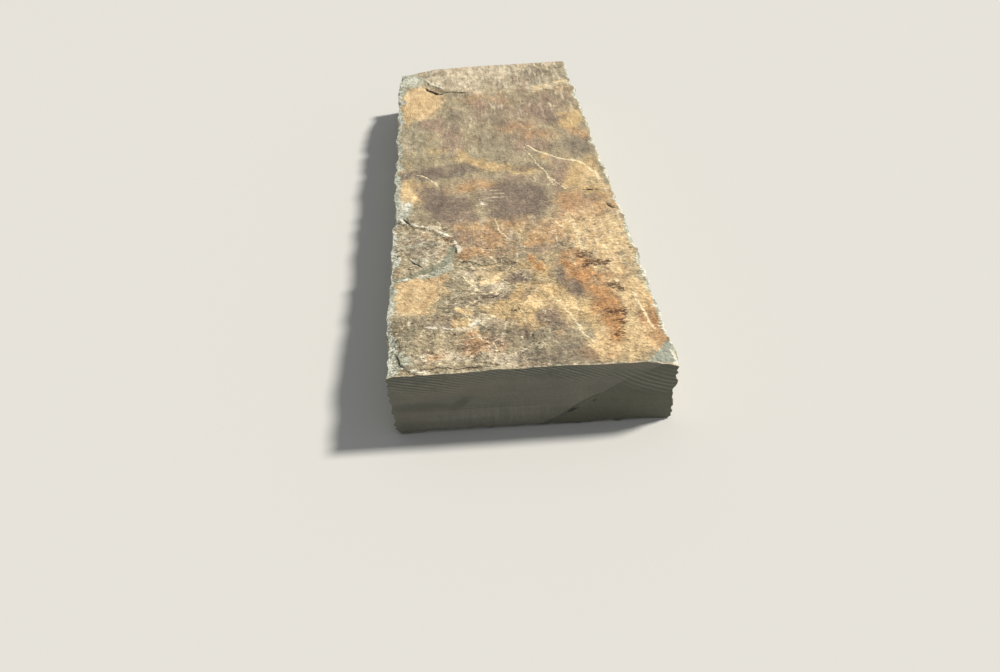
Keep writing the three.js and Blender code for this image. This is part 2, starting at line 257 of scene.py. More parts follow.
# Stains of the top: middle, half width, half length, strength, and turn in degrees where there is one
STAINS = {
    "olive": (
        (-0.098, -0.288, 0.02, 0.028, 0.9), (-0.1, 0.08, 0.017, 0.052, 1.1),
        (-0.06, -0.178, 0.026, 0.012, 0.9, -25), (0.102, 0.295, 0.016, 0.036, 1.35),
        (-0.02, -0.302, 0.045, 0.012, 0.5), (-0.03, 0.215, 0.02, 0.022, 0.7),
        (0.04, 0.212, 0.014, 0.03, 0.6), (0.0, 0.07, 0.03, 0.04, 0.3), (-0.07, 0.062, 0.02, 0.026, 0.8),
        (-0.056, -0.212, 0.016, 0.028, 0.9), (-0.045, -0.285, 0.03, 0.02, 0.5),
        (-0.096, 0.125, 0.02, 0.02, 0.6), (-0.086, -0.142, 0.02, 0.026, 0.7),
    ),
    "grey": (
        (-0.07, 0.014, 0.036, 0.012, 1.8, 8), (-0.088, -0.136, 0.02, 0.026, 0.65),
        (0.092, 0.06, 0.015, 0.026, 0.9), (0.028, -0.312, 0.05, 0.011, 1.0),
        (0.035, -0.306, 0.016, 0.009, 1.3), (-0.04, -0.232, 0.014, 0.024, 0.6),
        (-0.082, -0.262, 0.02, 0.01, 0.8), (0.07, 0.284, 0.014, 0.028, 1.0),
        (0.005, 0.085, 0.026, 0.045, 0.4), (0.05, -0.095, 0.012, 0.016, 0.5),
        (-0.004, -0.16, 0.026, 0.012, 0.5), (-0.048, 0.15, 0.014, 0.03, 0.6),
        (0.0, -0.275, 0.03, 0.02, 0.7),
    ),
    "mauve": (
        (-0.05, 0.095, 0.014, 0.04, 1.1), (0.045, 0.262, 0.012, 0.034, 0.8),
        (-0.036, 0.276, 0.018, 0.014, 0.7), (0.02, 0.27, 0.01, 0.03, 0.5), (-0.01, 0.18, 0.016, 0.04, 0.7),
        (0.06, 0.17, 0.03, 0.03, 0.8), (0.04, 0.08, 0.02, 0.03, 0.75), (0.0, -0.008, 0.03, 0.01, 0.6),
        (-0.03, -0.135, 0.024, 0.016, 0.9), (-0.075, -0.308, 0.01, 0.009, 1.0),
        (0.02, 0.19, 0.016, 0.03, 0.6), (0.062, -0.01, 0.014, 0.04, 0.8), (-0.07, 0.136, 0.02, 0.022, 0.8),
        (0.03, 0.128, 0.02, 0.024, 0.7), (-0.04, -0.294, 0.014, 0.013, 1.0),
        (0.068, -0.07, 0.018, 0.02, 0.5), (0.085, 0.205, 0.02, 0.02, 0.6),
    ),
    "ochre": (
        (-0.044, 0.05, 0.01, 0.018, 0.65), (-0.014, 0.026, 0.04, 0.011, 0.9, -24),
        (0.026, 0.008, 0.018, 0.008, 0.75), (0.014, -0.24, 0.03, 0.03, 1.35),
        (0.047, -0.262, 0.009, 0.028, 1.0, 8), (0.097, 0.143, 0.012, 0.026, 0.9),
        (-0.104, 0.05, 0.008, 0.04, 0.35), (0.086, 0.005, 0.014, 0.04, 0.8, -20),
        (-0.094, -0.028, 0.02, 0.026, 0.75), (-0.022, -0.246, 0.01, 0.014, 0.8),
        (0.092, -0.04, 0.02, 0.026, 0.8), (-0.104, 0.16, 0.01, 0.03, 0.8),
        (-0.058, -0.262, 0.008, 0.008, 0.8), (0.02, -0.19, 0.016, 0.018, 0.7),
        (0.05, 0.024, 0.008, 0.02, 0.4), (0.0, -0.12, 0.04, 0.03, 0.35), (-0.07, 0.06, 0.016, 0.02, 0.3),
    ),
    "orange": (
        (0.075, -0.078, 0.03, 0.034, 0.8), (0.1, 0.105, 0.012, 0.02, 0.6), (0.036, -0.125, 0.03, 0.03, 0.7),
        (0.07, -0.14, 0.02, 0.03, 0.6), (-0.036, -0.122, 0.04, 0.024, 0.7),
        (-0.03, -0.024, 0.022, 0.014, 0.7), (0.01, -0.105, 0.03, 0.016, 0.7),
        (0.104, -0.275, 0.007, 0.04, 1.0), (-0.094, -0.2, 0.02, 0.008, 0.8),
        (-0.084, 0.2, 0.016, 0.03, 0.7), (0.085, -0.205, 0.014, 0.03, 0.8),
        (0.085, 0.226, 0.026, 0.01, 0.35), (0.046, 0.11, 0.034, 0.03, 0.4),
        (0.065, -0.31, 0.02, 0.012, 0.6), (-0.02, -0.15, 0.04, 0.014, 0.6),
        (-0.046, -0.297, 0.018, 0.014, 0.55), (-0.01, 0.21, 0.04, 0.02, 0.3),
    ),
    "cream": (
        (0.092, -0.15, 0.022, 0.06, 0.9), (0.095, -0.238, 0.016, 0.024, 1.2),
        (0.084, -0.296, 0.016, 0.028, 1.1), (0.056, -0.3, 0.008, 0.02, 0.8, 10),
        (-0.104, -0.05, 0.01, 0.018, 0.7), (0.102, 0.0, 0.008, 0.024, 1.0),
        (-0.098, -0.036, 0.011, 0.02, 0.65), (0.066, -0.122, 0.012, 0.03, 0.8),
        (0.022, -0.16, 0.01, 0.006, 0.6), (0.085, 0.246, 0.026, 0.007, 0.3, 8),
        (0.04, -0.165, 0.01, 0.01, 0.5), (0.018, -0.24, 0.022, 0.024, 0.9),
        (-0.022, -0.186, 0.018, 0.012, 0.6),
    ),
    "bleached": (
        (0.0, 0.305, 0.09, 0.05, 0.8), (-0.016, 0.23, 0.008, 0.026, 0.7, 15),
        (-0.035, 0.262, 0.04, 0.034, 0.7), (0.06, 0.262, 0.05, 0.02, 0.6),
        (-0.088, -0.118, 0.028, 0.022, 0.65), (-0.08, -0.155, 0.022, 0.02, 0.6),
        (-0.045, -0.19, 0.026, 0.012, 0.7), (-0.04, -0.312, 0.06, 0.009, 0.6),
        (-0.108, -0.056, 0.008, 0.024, 1.3), (-0.018, -0.258, 0.016, 0.012, 1.3),
        (-0.06, -0.265, 0.02, 0.008, 0.7), (-0.026, -0.208, 0.012, 0.012, 0.8),
        (-0.096, 0.108, 0.01, 0.016, 0.4), (0.106, -0.04, 0.005, 0.06, 0.8),
        (-0.1, 0.075, 0.01, 0.014, 0.5), (0.07, -0.085, 0.014, 0.012, 0.6),
        (-0.034, -0.1, 0.014, 0.012, 0.5),
    ),
    "purple": (
        (0.042, -0.214, 0.009, 0.022, 0.95, 8), (-0.07, 0.014, 0.028, 0.009, 0.75, 8),
        (0.01, -0.055, 0.027, 0.04, 1.25, -6), (-0.002, -0.082, 0.02, 0.012, 0.9),
        (-0.074, -0.036, 0.012, 0.022, 1.6, 20), (-0.06, -0.064, 0.019, 0.032, 1.8),
        (-0.04, -0.094, 0.012, 0.007, 0.8), (0.02, -0.258, 0.01, 0.015, 1.15),
        (0.004, -0.2, 0.012, 0.014, 0.55), (0.004, -0.224, 0.014, 0.01, 0.4),
        (0.026, -0.158, 0.014, 0.007, 0.7), (0.012, 0.15, 0.014, 0.03, 0.6),
        (0.01, -0.275, 0.02, 0.01, 0.5), (-0.028, -0.228, 0.012, 0.005, 0.6),
        (0.068, 0.15, 0.014, 0.02, 0.5), (-0.052, -0.128, 0.012, 0.016, 0.5),
        (0.03, 0.012, 0.022, 0.008, 0.5), (0.085, -0.062, 0.01, 0.012, 0.4),
    ),
    "rust": (
        (0.06, -0.208, 0.012, 0.04, 0.95, 8), (0.068, -0.262, 0.012, 0.036, 1.1),
        (0.06, -0.176, 0.011, 0.018, 0.6), (0.109, -0.268, 0.006, 0.034, 0.42),
        (0.014, -0.172, 0.004, 0.005, 1.3), (0.022, -0.186, 0.005, 0.006, 1.3),
        (-0.076, -0.311, 0.008, 0.007, 0.3), (0.044, -0.134, 0.012, 0.02, 0.15),
        (0.108, -0.072, 0.004, 0.018, 0.7),
    ),
    "umber": (
        (0.074, -0.186, 0.016, 0.009, 1.2, 10), (0.064, -0.172, 0.012, 0.008, 1.0, 40),
        (0.083, -0.229, 0.006, 0.01, 1.15), (0.076, -0.264, 0.013, 0.011, 1.1),
        (0.079, -0.28, 0.011, 0.009, 1.05, 20), (0.072, -0.296, 0.012, 0.007, 0.9, 30),
        (0.062, -0.164, 0.009, 0.007, 0.6, 40), (0.061, -0.236, 0.005, 0.014, 0.5, 8),
        (0.08, -0.208, 0.006, 0.006, 0.6), (0.062, -0.262, 0.01, 0.02, 0.5),
        (-0.002, -0.216, 0.012, 0.008, 0.3), (0.112, -0.23, 0.003, 0.03, 0.4),
    ),
    "buff": (
        (-0.093, -0.221, 0.024, 0.03, 1.0), (-0.084, 0.208, 0.022, 0.054, 1.0, -3),
        (-0.048, -0.246, 0.005, 0.006, 0.8),
    ),
    "fresh": (
        (-0.093, 0.29, 0.016, 0.026, 1.5), (-0.108, 0.286, 0.01, 0.045, 1.3),
        (-0.092, -0.125, 0.03, 0.022, 0.5, -25), (-0.086, -0.165, 0.028, 0.02, 0.5, 30),
        (-0.103, -0.066, 0.009, 0.02, 1.2), (-0.075, -0.186, 0.022, 0.006, 0.9, 28),
        (-0.106, -0.312, 0.01, 0.012, 0.8), (-0.062, -0.165, 0.006, 0.016, 0.9, -30),
        (-0.111, -0.06, 0.004, 0.03, 0.9),
    ),
    "slanted": (
        (0.085, -0.15, 0.04, 0.07, 1.0), (0.045, -0.12, 0.04, 0.04, 0.8),
        (-0.085, -0.145, 0.035, 0.05, 1.0),
    ),
    "crosswise": (
        (0.082, 0.243, 0.036, 0.02, 1.0), (-0.012, -0.046, 0.01, 0.026, 0.9),
        (0.09, 0.17, 0.03, 0.035, 0.5), (0.0, 0.232, 0.05, 0.01, 0.6, -4),
    ),
    "streaky": (
        (0.0, 0.285, 0.12, 0.05, 1.0), (0.04, 0.19, 0.08, 0.06, 0.6), (-0.03, 0.11, 0.06, 0.06, 0.5),
        (0.08, -0.15, 0.04, 0.07, 0.6), (0.0, -0.12, 0.06, 0.03, 0.6),
    ),
}

# The flaked lower edge of the front end: height above the bed, read across the face
FLAKED_EDGE = (
    (-0.116, 0.0026), (-0.107, 0.0004), (-0.098, 0.0017), (-0.086, 0.0029), (-0.045, 0.0032),
    (-0.018, 0.0027), (0.001, 0.0024), (0.025, 0.0015), (0.035, 0.0003), (0.052, 0.0020), (0.063, 0.0021),
    (0.069, 0.0003), (0.078, 0.0020), (0.088, 0.0024), (0.099, 0.0008), (0.116, 0.0004),
)
FLAKE_REACH = 0.015
FLAKE_SPREAD, FLAKE_LENGTH = 0.35, 0.006
FLAKE_NICK, FLAKE_NICK_LENGTH = 0.0011, 0.0050
END_TO_END = 0.2  # length over which the flakes change, so that the two ends differ

# How far noise moves lines, over what length, coarsely and finely, and how far it moves stains
RAGGED = ((0.0014, 0.012), (0.0007, 0.0042))
STAIN_DRIFT, STAIN_DRIFT_SIZE = 0.007, (0.032, 0.040)
BLOT_EDGE = (0.3, 1.7)  # where a stain's blot starts to fade and is gone, as shares of its half sizes

# Marks stored at the points, in millimetres
FAR_OFF = 9.0  # stands for any place away from every mark
MARK_REACH = 5.0
MARK_TIP, MARK_TAPER = 0.35, 0.010  # share of its width at a mark's tip, and the metres over which it grows
KNOCKED_STEEPNESS = 25  # from the knocked corner's rim inwards
GRAINY_REACH = 0.20  # from the middle, where the top is half grainy, to where it is all or none

# The scars are painted near-black as the shadow inside them
# Small scars of the sawn front end: x, z, half width, half height and turn in degrees, then depth
END_SCARS = (
    ((0.0317, 0.0155, 0.0048, 0.0011, 30), 0.0013),
    ((0.0492, 0.0247, 0.0019, 0.0008, 30), 0.0008),
)
SCAR_WALL, SCAR_SHADOW = (0.3, 1.2), 1.5  # shares of its half sizes where its wall runs and its colour ends

# Where two cuts meet on the front end, as X and Z, and a line sawn across it
CUT_EDGE = (
    (0.010, 0.0045), (0.0208, 0.0102), (0.0283, 0.0160), (0.0392, 0.0244), (0.0492, 0.0302),
    (0.0558, 0.0327), (0.070, 0.0426), (0.080, 0.0476), (0.0917, 0.0526), (0.103, 0.0590),
)
LEVEL_LINE = ((-0.112, 0.0246), (-0.060, 0.0243), (0.006, 0.0244))
SAW_LINES = ((0.00030, CUT_EDGE[1:6]), (0.00022, LEVEL_LINE))

# Areas of the front end's marks: middle, half width, half height, strength, and turn in degrees
END_AREAS = {
    "left_arcs": (
        (-0.095, 0.056, 0.034, 0.01, 1.0, -8), (0.005, 0.06, 0.055, 0.007, 0.9, -8),
        (-0.05, 0.058, 0.03, 0.007, 0.5),
    ),
    "right_arcs": ((0.092, 0.043, 0.026, 0.009, 1.0, -20), (0.106, 0.04, 0.012, 0.011, 0.8)),
    "uprights": (
        (-0.024, 0.016, 0.034, 0.011, 1.0), (-0.075, 0.014, 0.02, 0.01, 0.5),
        (0.036, 0.03, 0.01, 0.012, 0.4),
    ),
    "dark_bed": (
        (-0.09, 0.029, 0.03, 0.0045, 0.9), (-0.06, 0.03, 0.012, 0.0045, 1.0, 32),
        (0.098, 0.03, 0.022, 0.005, 0.8, -6), (-0.02, 0.027, 0.04, 0.004, 0.5),
    ),
    "warm_side": (
        (-0.07, 0.045, 0.045, 0.014, 0.9), (0.07, 0.06, 0.03, 0.004, 0.6), (-0.1, 0.012, 0.016, 0.01, 0.5),
    ),
}

CAMERA_PLACE = (-0.06256, -0.84563, 0.49487)
CAMERA_TURN = (52.41, 0.71, -4.504)
CAMERA_LENS, CAMERA_SENSOR = 31.18, 36.0  # millimetres

KEY_FROM = (3.77, 1.30, 4.42)
KEY_STRENGTH = 3.76
KEY_SOFTNESS = 9.0  # the angle that the light fills, in degrees
SURROUND_STRENGTH = 0.34
FLOOR_HALF = 8.0


def smooth(value, low, high):
    """Runs from 0 at low to 1 at high along an S: three times the share's square less twice its cube."""
    share = np.clip((value - low) / (high - low), 0, 1)
    return share * share * (3 - 2 * share)


def blend(first, second, share):
    """A straight mix: first where share is 0, second where it is 1."""
    return first + (second - first) * share


def scatter(i, j, seed):
    """A repeatable value from -1 to 1 for each whole-numbered place, another for each seed: the numbers
    times large odd ones, mixed by exclusive or with their own upper bits, all within 32 bits."""
    low_bits = 0xFFFFFFFF
    h = ((i * 374761393) ^ (j * 668265263) ^ (seed * 1274126177)) & low_bits
    h = ((h ^ (h >> 13)) * 1103515245) & low_bits
    return (h ^ (h >> 16)) / 2147483647.5 - 1


def bumps(u, v, seed):
    """Smooth bumps one unit across: scattered values blended along an S between whole-numbered places."""
    u, v = np.broadcast_arrays(u, v)
    i, j = np.floor(u).astype(np.int64), np.floor(v).astype(np.int64)
    s, t = smooth(u - i, 0, 1), smooth(v - j, 0, 1)
    near = blend(scatter(i, j, seed), scatter(i + 1, j, seed), s)
    far = blend(scatter(i, j + 1, seed), scatter(i + 1, j + 1, seed), s)
    return blend(near, far, t)


def rough(u, v, seed, layers=4):
    """Bumps added to bumps half their size and half their height, layers times over."""
    return sum(bumps(u * 2**k, v * 2**k, seed + k) / 2**k for k in range(layers))


def sized(noise, x, y, size, *which):
    """One of the two noises with bumps of a real size across and along: each place divided by that size."""
    return noise(x / size[0], y / size[1], *which)


def terraces(field, edge):
    """Turns a smooth field into level sheets: its whole part, with a climb in the last edge of a unit."""
    whole = np.floor(field)
    return whole + smooth(field - whole, 1 - edge, 1)


def ragged(x, y):
    """Places moved a little by noise, coarse and fine, so that what is drawn straight comes out ragged."""
    move_x, move_y = (
        sum(reach * bumps(x / length, y / length, seed) for (reach, length), seed in zip(RAGGED, seeds))
        for seeds in ((71, 73), (79, 83))
    )
    return x + move_x, y + move_y


def beside_line(x, y, line):
    """Nearest place on a line of straight runs: the signed distance to it, plus on the line's right, and
    how far it is from the nearer end. Each run gives the foot of a perpendicular that is held between the
    run's ends, and the nearest foot wins."""
    points = np.array(line)
    reaches = np.hypot(*np.diff(points, axis=0).T)
    nearest, signed, along = np.full(x.shape, np.inf), np.zeros(x.shape), np.zeros(x.shape)
    for start, end, reach, walked in zip(points, points[1:], reaches, np.cumsum(reaches) - reaches):
        run_x, run_y = end - start
        from_x, from_y = x - start[0], y - start[1]
        share = np.clip((from_x * run_x + from_y * run_y) / reach**2, 0, 1)
        away = np.hypot(from_x - share * run_x, from_y - share * run_y)
        nearer = away < nearest
        side = np.where(run_y * from_x > run_x * from_y, 1, -1)
        nearest = np.where(nearer, away, nearest)
        signed = np.where(nearer, side * away, signed)
        along = np.where(nearer, walked + share * reach, along)
    return signed, np.minimum(along, reaches.sum() - along)


def step_drop(x, y, depth, run, line):
    """Drop beside a step: full depth against the line on its right, straight out to nothing after run, and
    less towards the ends of the line."""
    signed, from_end = beside_line(x, y, line)
    drop = depth * np.clip(from_end / STEP_TAPER, 0, 1) * np.clip(1 - signed / run, 0, 1)
    return drop * smooth(signed, *STEP_FACE)


def parting_height(k, side, y):
    """Height of a parting: its own height, plus a dip along the slab and a slow wave."""
    wave = PARTING_WAVE * bumps(y / PARTING_WAVE_LENGTH, k, 31 + side)
    return PARTINGS[k] + PARTING_DIP * y / LENGTH + wave


def bed_face(k, side, y):
    """How far one bed stands out from the chalked line: scoops and splinters, less by the ends, and its
    setback taken off."""
    scoop = SCOOP_DEPTH * bumps(y / SCOOP_LENGTH, k * SCOOP_SHIFT, 11 + side)
    splinter = SPLINTER_DEPTH * bumps(y / SPLINTER_LENGTH, k * SPLINTER_SHIFT, 17 + side)
    calm = blend(END_LEAST, 1, smooth(LENGTH / 2 - abs(y), 0, END_REACH))
    return (scoop + splinter) * calm - SETBACKS[side][k]


def laminae(side, y, z):
    """Fine relief of a split edge: thin layers that dip along it, each offset by its own bumps, with small
    splinters over them, and pits where a stretched noise peaks."""
    level = z + LAMINA_DIP * y
    wander, wander_length, wander_height = LAMINA_WANDER
    layer = level / LAMINA + wander * bumps(y / wander_length, z / wander_height, 91 + side)
    whole = np.floor(layer)
    lower, upper = (bumps(y / LAMINA_LENGTH + LAMINA_SHIFT * k, k, 97 + side) for k in (whole, whole + 1))
    layered = LAMINA_DEPTH * blend(lower, upper, smooth(layer - whole, LAMINA_EDGE, 1))
    depth, length, height, slope = THIN_SPLINTER
    splinters = depth * rough(y / length, (z - slope * y) / height, 101 + side, 3)
    depth, length, height = PIT
    pits = depth * smooth(bumps(y / length, level / height, 107 + side), *PIT_PEAKS)
    return layered + splinters - pits


def edge_x(side, y, z):
    """X of a split edge: the chalked line, the bed's face at that height, and the fine laminae."""
    face = bed_face(0, side, y)
    for k in range(len(PARTINGS)):
        above = z - parting_height(k, side, y)
        face = blend(face, bed_face(k + 1, side, y), smooth(above, -PARTING_BLEND, PARTING_BLEND))
    chalk_line = (WIDTH - TAPER * y / LENGTH) / 2
    return side * (chalk_line + face + laminae(side, y, z))


def chip_reach(y, chip):
    """Width of the chips of an arris along it: the mean width, more or less by bumps."""
    width, _, seed = chip
    chips = CHIP_SPREAD * bumps(y / CHIP_LENGTH, 0, seed)
    nicks = NICK_SPREAD * bumps(y / NICK_LENGTH, 0, seed + 1)
    return width * (1 + chips + nicks)


def chip_drop(inward, y, chip):
    """Drop of a chipped arris: a share of the chip's width at the edge, falling off as a square."""
    reach = chip_reach(y, chip)
    return chip[1] * reach * np.clip(1 - inward / reach, 0, 1) ** 2


def corner_share(from_x, from_y, size):
    """How far inside a corner a place is: 0 on the line that joins its two distances, 1 at its point."""
    return np.clip(1 - from_x / size[0] - from_y / size[1], 0, 1)


def corner_drop(x, y):
    """The knocked front right corner, as a plane with shell ripples, and the spalled back left one, in two
    stages that each fall as the product of the shares across and along."""
    share = corner_share(WIDTH / 2 - x, y + LENGTH / 2, FRONT_CHIP)
    ripple, turn = KNOCK_RIPPLES
    knocked = FRONT_CHIP[2] * (share + ripple * np.sin(share * turn) * (share > 0))
    from_back = LENGTH / 2 - y
    sag = BACK_SAG[2] * np.clip(-x / BACK_SAG[0], 0, 1) * np.clip(1 - from_back / BACK_SAG[1], 0, 1)
    across = np.clip(1 - (x + WIDTH / 2) / BACK_SPALL[0], 0, 1)
    along = np.clip(1 - from_back / BACK_SPALL[1], 0, 1)
    broken = across * along * (1 + SPALL_ROUGHNESS * sized(rough, x, y, SPALL_ROUGH_SIZE, 113, 3))
    return knocked + sag + BACK_SPALL[2] * broken


def shelly(x, y):
    """Share of small shells in the cleavage: most in the front left quarter and in the scar."""
    quarter = smooth(SHELLY_CORNER[0] - x, *SHELLY_ACROSS) * smooth(SHELLY_CORNER[1] - y, *SHELLY_ALONG)
    scar = 1 - smooth(ellipse_distance(x, y, *SHELLY_SCAR), *SHELLY_SCAR_EDGE)
    smooth_patch = 1 - smooth(ellipse_distance(x, y, *SMOOTH_PATCH), *SMOOTH_PATCH_EDGE)
    return FEWEST_SHELLS + (1 - FEWEST_SHELLS) * np.maximum(quarter, scar) * (1 - smooth_patch)


def cleft(x, y):
    """Thin sheets and small shells of a cleavage face: terraced noise, stretched along the slab, with nubs,
    fine lengthwise fibres and dents between."""
    share = shelly(x, y)
    sheets = SHEET * terraces(SHEET_LEVELS * sized(rough, x, y, SHEET_SIZE, 121), SHEET_RIM)
    shells = SHELL * share * terraces(SHELL_LEVELS * sized(rough, x, y, SHELL_SIZE, 127, 3), SHELL_RIM)
    nubs = NUB * (FEWEST_NUBS + share) * sized(rough, x, y, NUB_SIZE, 139, 2)
    fibres = FIBRE * sized(rough, x, y, FIBRE_SIZE, 131, 2)
    dents = DENT * smooth(sized(bumps, x, y, DENT_SIZE, 137), *DENT_PEAKS)
    by_end = blend(CLEFT_LEAST, 1, smooth(LENGTH / 2 - abs(y), 0, CLEFT_REACH))
    return (sheets + shells + nubs + fibres - dents) * by_end


def top_height(x, y):
    """Height of the top: slow waves, the back right rise, steps, cracks, corners, chips and cleavage."""
    z = THICKNESS + TOP_WAVE * sized(bumps, x, y, TOP_WAVE_SIZE, 3)
    z = z + TOP_RIPPLE * sized(bumps, x, y, TOP_RIPPLE_SIZE, 5)
    z = z + BACK_RIGHT_RISE * smooth(x, *RISE_ACROSS) * smooth(y, *RISE_ALONG)
    torn_x, torn_y = ragged(x, y)
    for depth, run, line in STEPS.values():
        z = z - step_drop(torn_x, torn_y, depth, run, line)
    for half_width, depth, line in CRACKS.values():
        signed, from_end = beside_line(torn_x, torn_y, line)
        rim = 2 * max(half_width, CRACK_LEAST)
        z = z - depth * np.clip(from_end / CRACK_TAPER, CRACK_TIP, 1) * np.clip(1 - abs(signed) / rim, 0, 1)
    z = z - corner_drop(x, y)
    z = z - chip_drop(x - edge_x(-1, y, THICKNESS), y, LEFT_CHIP)
    z = z - chip_drop(edge_x(1, y, THICKNESS) - x, y, RIGHT_CHIP)
    by_end = np.clip(1 - (LENGTH / 2 - abs(y)) / SAWN_ARRIS_REACH, 0, 1)
    z = z - SAWN_ARRIS_WEAR * by_end * (1 + sized(bumps, x, y, SAWN_ARRIS_CHIP, 47))
    return z + cleft(x, y) - 2 * SHEET


def bed_height(x, y):
    """Height of the underside: flat patches at 0, missing sheets between them, and the flaked border."""
    flaked = np.interp(np.where(y < 0, x, -x), *np.array(FLAKED_EDGE).T)
    flaked = flaked * (1 + FLAKE_SPREAD * bumps(x / FLAKE_LENGTH, y / END_TO_END, 149))
    flaked = flaked + FLAKE_NICK * abs(bumps(x / FLAKE_NICK_LENGTH, y / END_TO_END, 157))
    fade = np.clip(1 - (LENGTH / 2 - abs(y)) / FLAKE_REACH, 0, 1) ** 2
    left = chip_drop(x - edge_x(-1, y, 0), y, LEFT_LOWER_CHIP)
    right = chip_drop(edge_x(1, y, 0) - x, y, RIGHT_LOWER_CHIP)
    levels = terraces(BED_SHEET_LEVELS * sized(rough, x, y, BED_SHEET_SIZE, 151, 3), BED_SHEET_RIM)
    return flaked * fade + left + right + SHEET * np.maximum(levels, 0)


def crowded(count):
    """Shares from 0 to 1: even steps mixed with a cosine's, which are closer together towards both ends."""
    even = np.linspace(0, 1, count + 1)
    return blend(even, 0.5 - 0.5 * np.cos(np.pi * even), CROWDING)


def level_points(shares, y, z, height):
    """A grid of points between the two split edges at height z: x runs evenly between them by the shares,
    and height gives each point's own z."""
    x = blend(edge_x(-1, y, z), edge_x(1, y, z), shares)
    y = np.broadcast_to(y, x.shape)
    return np.stack([x, y, height(x, y)], axis=-1)


def edge_points(side, y, foot, head):
    """A grid of points on a split edge: z runs evenly from the lower arris to the upper, and x follows
    edge_x. The first and last columns are the arrises' own points."""
    shares = np.linspace(0, 1, UP + 1)[None, :]
    z = blend(foot[:, 2:3], head[:, 2:3], shares)
    x = edge_x(side, y, z)
    points = np.stack([x, np.broadcast_to(y, x.shape), z], axis=-1)
    points[:, 0], points[:, -1] = foot, head
    return points


def end_points(outward, left, right, foot, head):
    """A grid of points on a sawn end, by shares across and up: z runs between the lower and upper arrises,
    and x between the split edges' columns at that height. Small scars sink it, each as an ellipse with a
    round floor."""
    up = np.linspace(0, 1, UP + 1)[:, None]
    across = (foot[:, 0] - foot[0, 0]) / (foot[-1, 0] - foot[0, 0])
    z = blend(foot[None, :, 2], head[None, :, 2], up)
    x = blend(np.interp(z, left[:, 2], left[:, 0]), np.interp(z, right[:, 2], right[:, 0]), across[None, :])
    y = np.full(x.shape, outward * LENGTH / 2)
    for scar, depth in END_SCARS if outward < 0 else ():
        y = y - outward * depth * (1 - smooth(ellipse_distance(x, z, *scar), *SCAR_WALL))
    points = np.stack([x, y, z], axis=-1)
    points[0], points[-1], points[:, 0], points[:, -1] = foot, head, left, right
    return points


def ellipse_distance(x, y, middle_x, middle_y, half_x, half_y, turn=0):
    """Distance from the middle of an ellipse turned by some degrees, as a share of its half sizes."""
    angle = math.radians(turn)
    from_x, from_y = x - middle_x, y - middle_y
    u = from_x * math.cos(angle) + from_y * math.sin(angle)
    v = from_y * math.cos(angle) - from_x * math.sin(angle)
    return np.hypot(u / half_x, v / half_y)


def grid_faces(numbers, inward):
    """Two triangles for each cell of a grid of point numbers, turned over where inward is true."""
    a, b = numbers[:-1, :-1].ravel(), numbers[:-1, 1:].ravel()
    c, d = numbers[1:, 1:].ravel(), numbers[1:, :-1].ravel()
    faces = np.concatenate([np.stack([a, b, c], 1), np.stack([a, c, d], 1)])
    return faces[:, ::-1] if inward else faces


def border(numbers):
    """Point numbers round the border of a grid, anticlockwise from its first point, and where each of them
    stands on its way round, from 0 to 4, one for each side."""
    sides = (numbers[0, :-1], numbers[:-1, -1], numbers[-1, :0:-1], numbers[:0:-1, 0])
    shares = [k + np.arange(len(side)) / len(side) for k, side in enumerate(sides)]
    return np.concatenate(sides), np.concatenate(shares)


def stitch(outer, outer_shares, inner, inner_shares):
    """A ring of triangles between two closed borders with different numbers of points. Each outer step
    joins the inner point that stands level with it, and each inner step closes a gap."""
    level = np.searchsorted(inner_shares, outer_shares, side="right") - 1
    after = np.append(level[1:], len(inner))
    next_outer, level_inner, after_inner = np.roll(outer, -1), inner[level], inner[after % len(inner)]
    fans = np.stack([outer, next_outer, level_inner], 1)
    closing = np.stack([next_outer, after_inner, level_inner], 1)
    return np.concatenate([fans, closing[after > level]])


def stain_strength(x, y, blots):
    """Strength of a stain: the largest of its blots, each full inside its ellipse and gone well outside."""
    strengths = [
        blot[4] * (1 - smooth(ellipse_distance(x, y, *blot[:4], *blot[5:]), *BLOT_EDGE)) for blot in blots
    ]
    return np.max(strengths, axis=0)


def line_mark(x, y, marks):
    """Signed distance to the nearest of several lines and the half width drawn there, tapered at its ends.
    Both are in millimetres, and the width is below 0 away from every line."""
    nearest, width = np.full(x.shape, FAR_OFF), np.full(x.shape, -FAR_OFF)
    for half_width, line in marks:
        signed, from_end = beside_line(x, y, line)
        nearer = abs(signed) < abs(nearest) / 1000
        nearest = np.where(nearer, signed * 1000, nearest)
        tapered = 1000 * half_width * np.clip(MARK_TIP + from_end / MARK_TAPER, 0, 1)
        width = np.where(nearer, tapered, width)
    return nearest, np.where(abs(nearest) < MARK_REACH, width, -FAR_OFF)


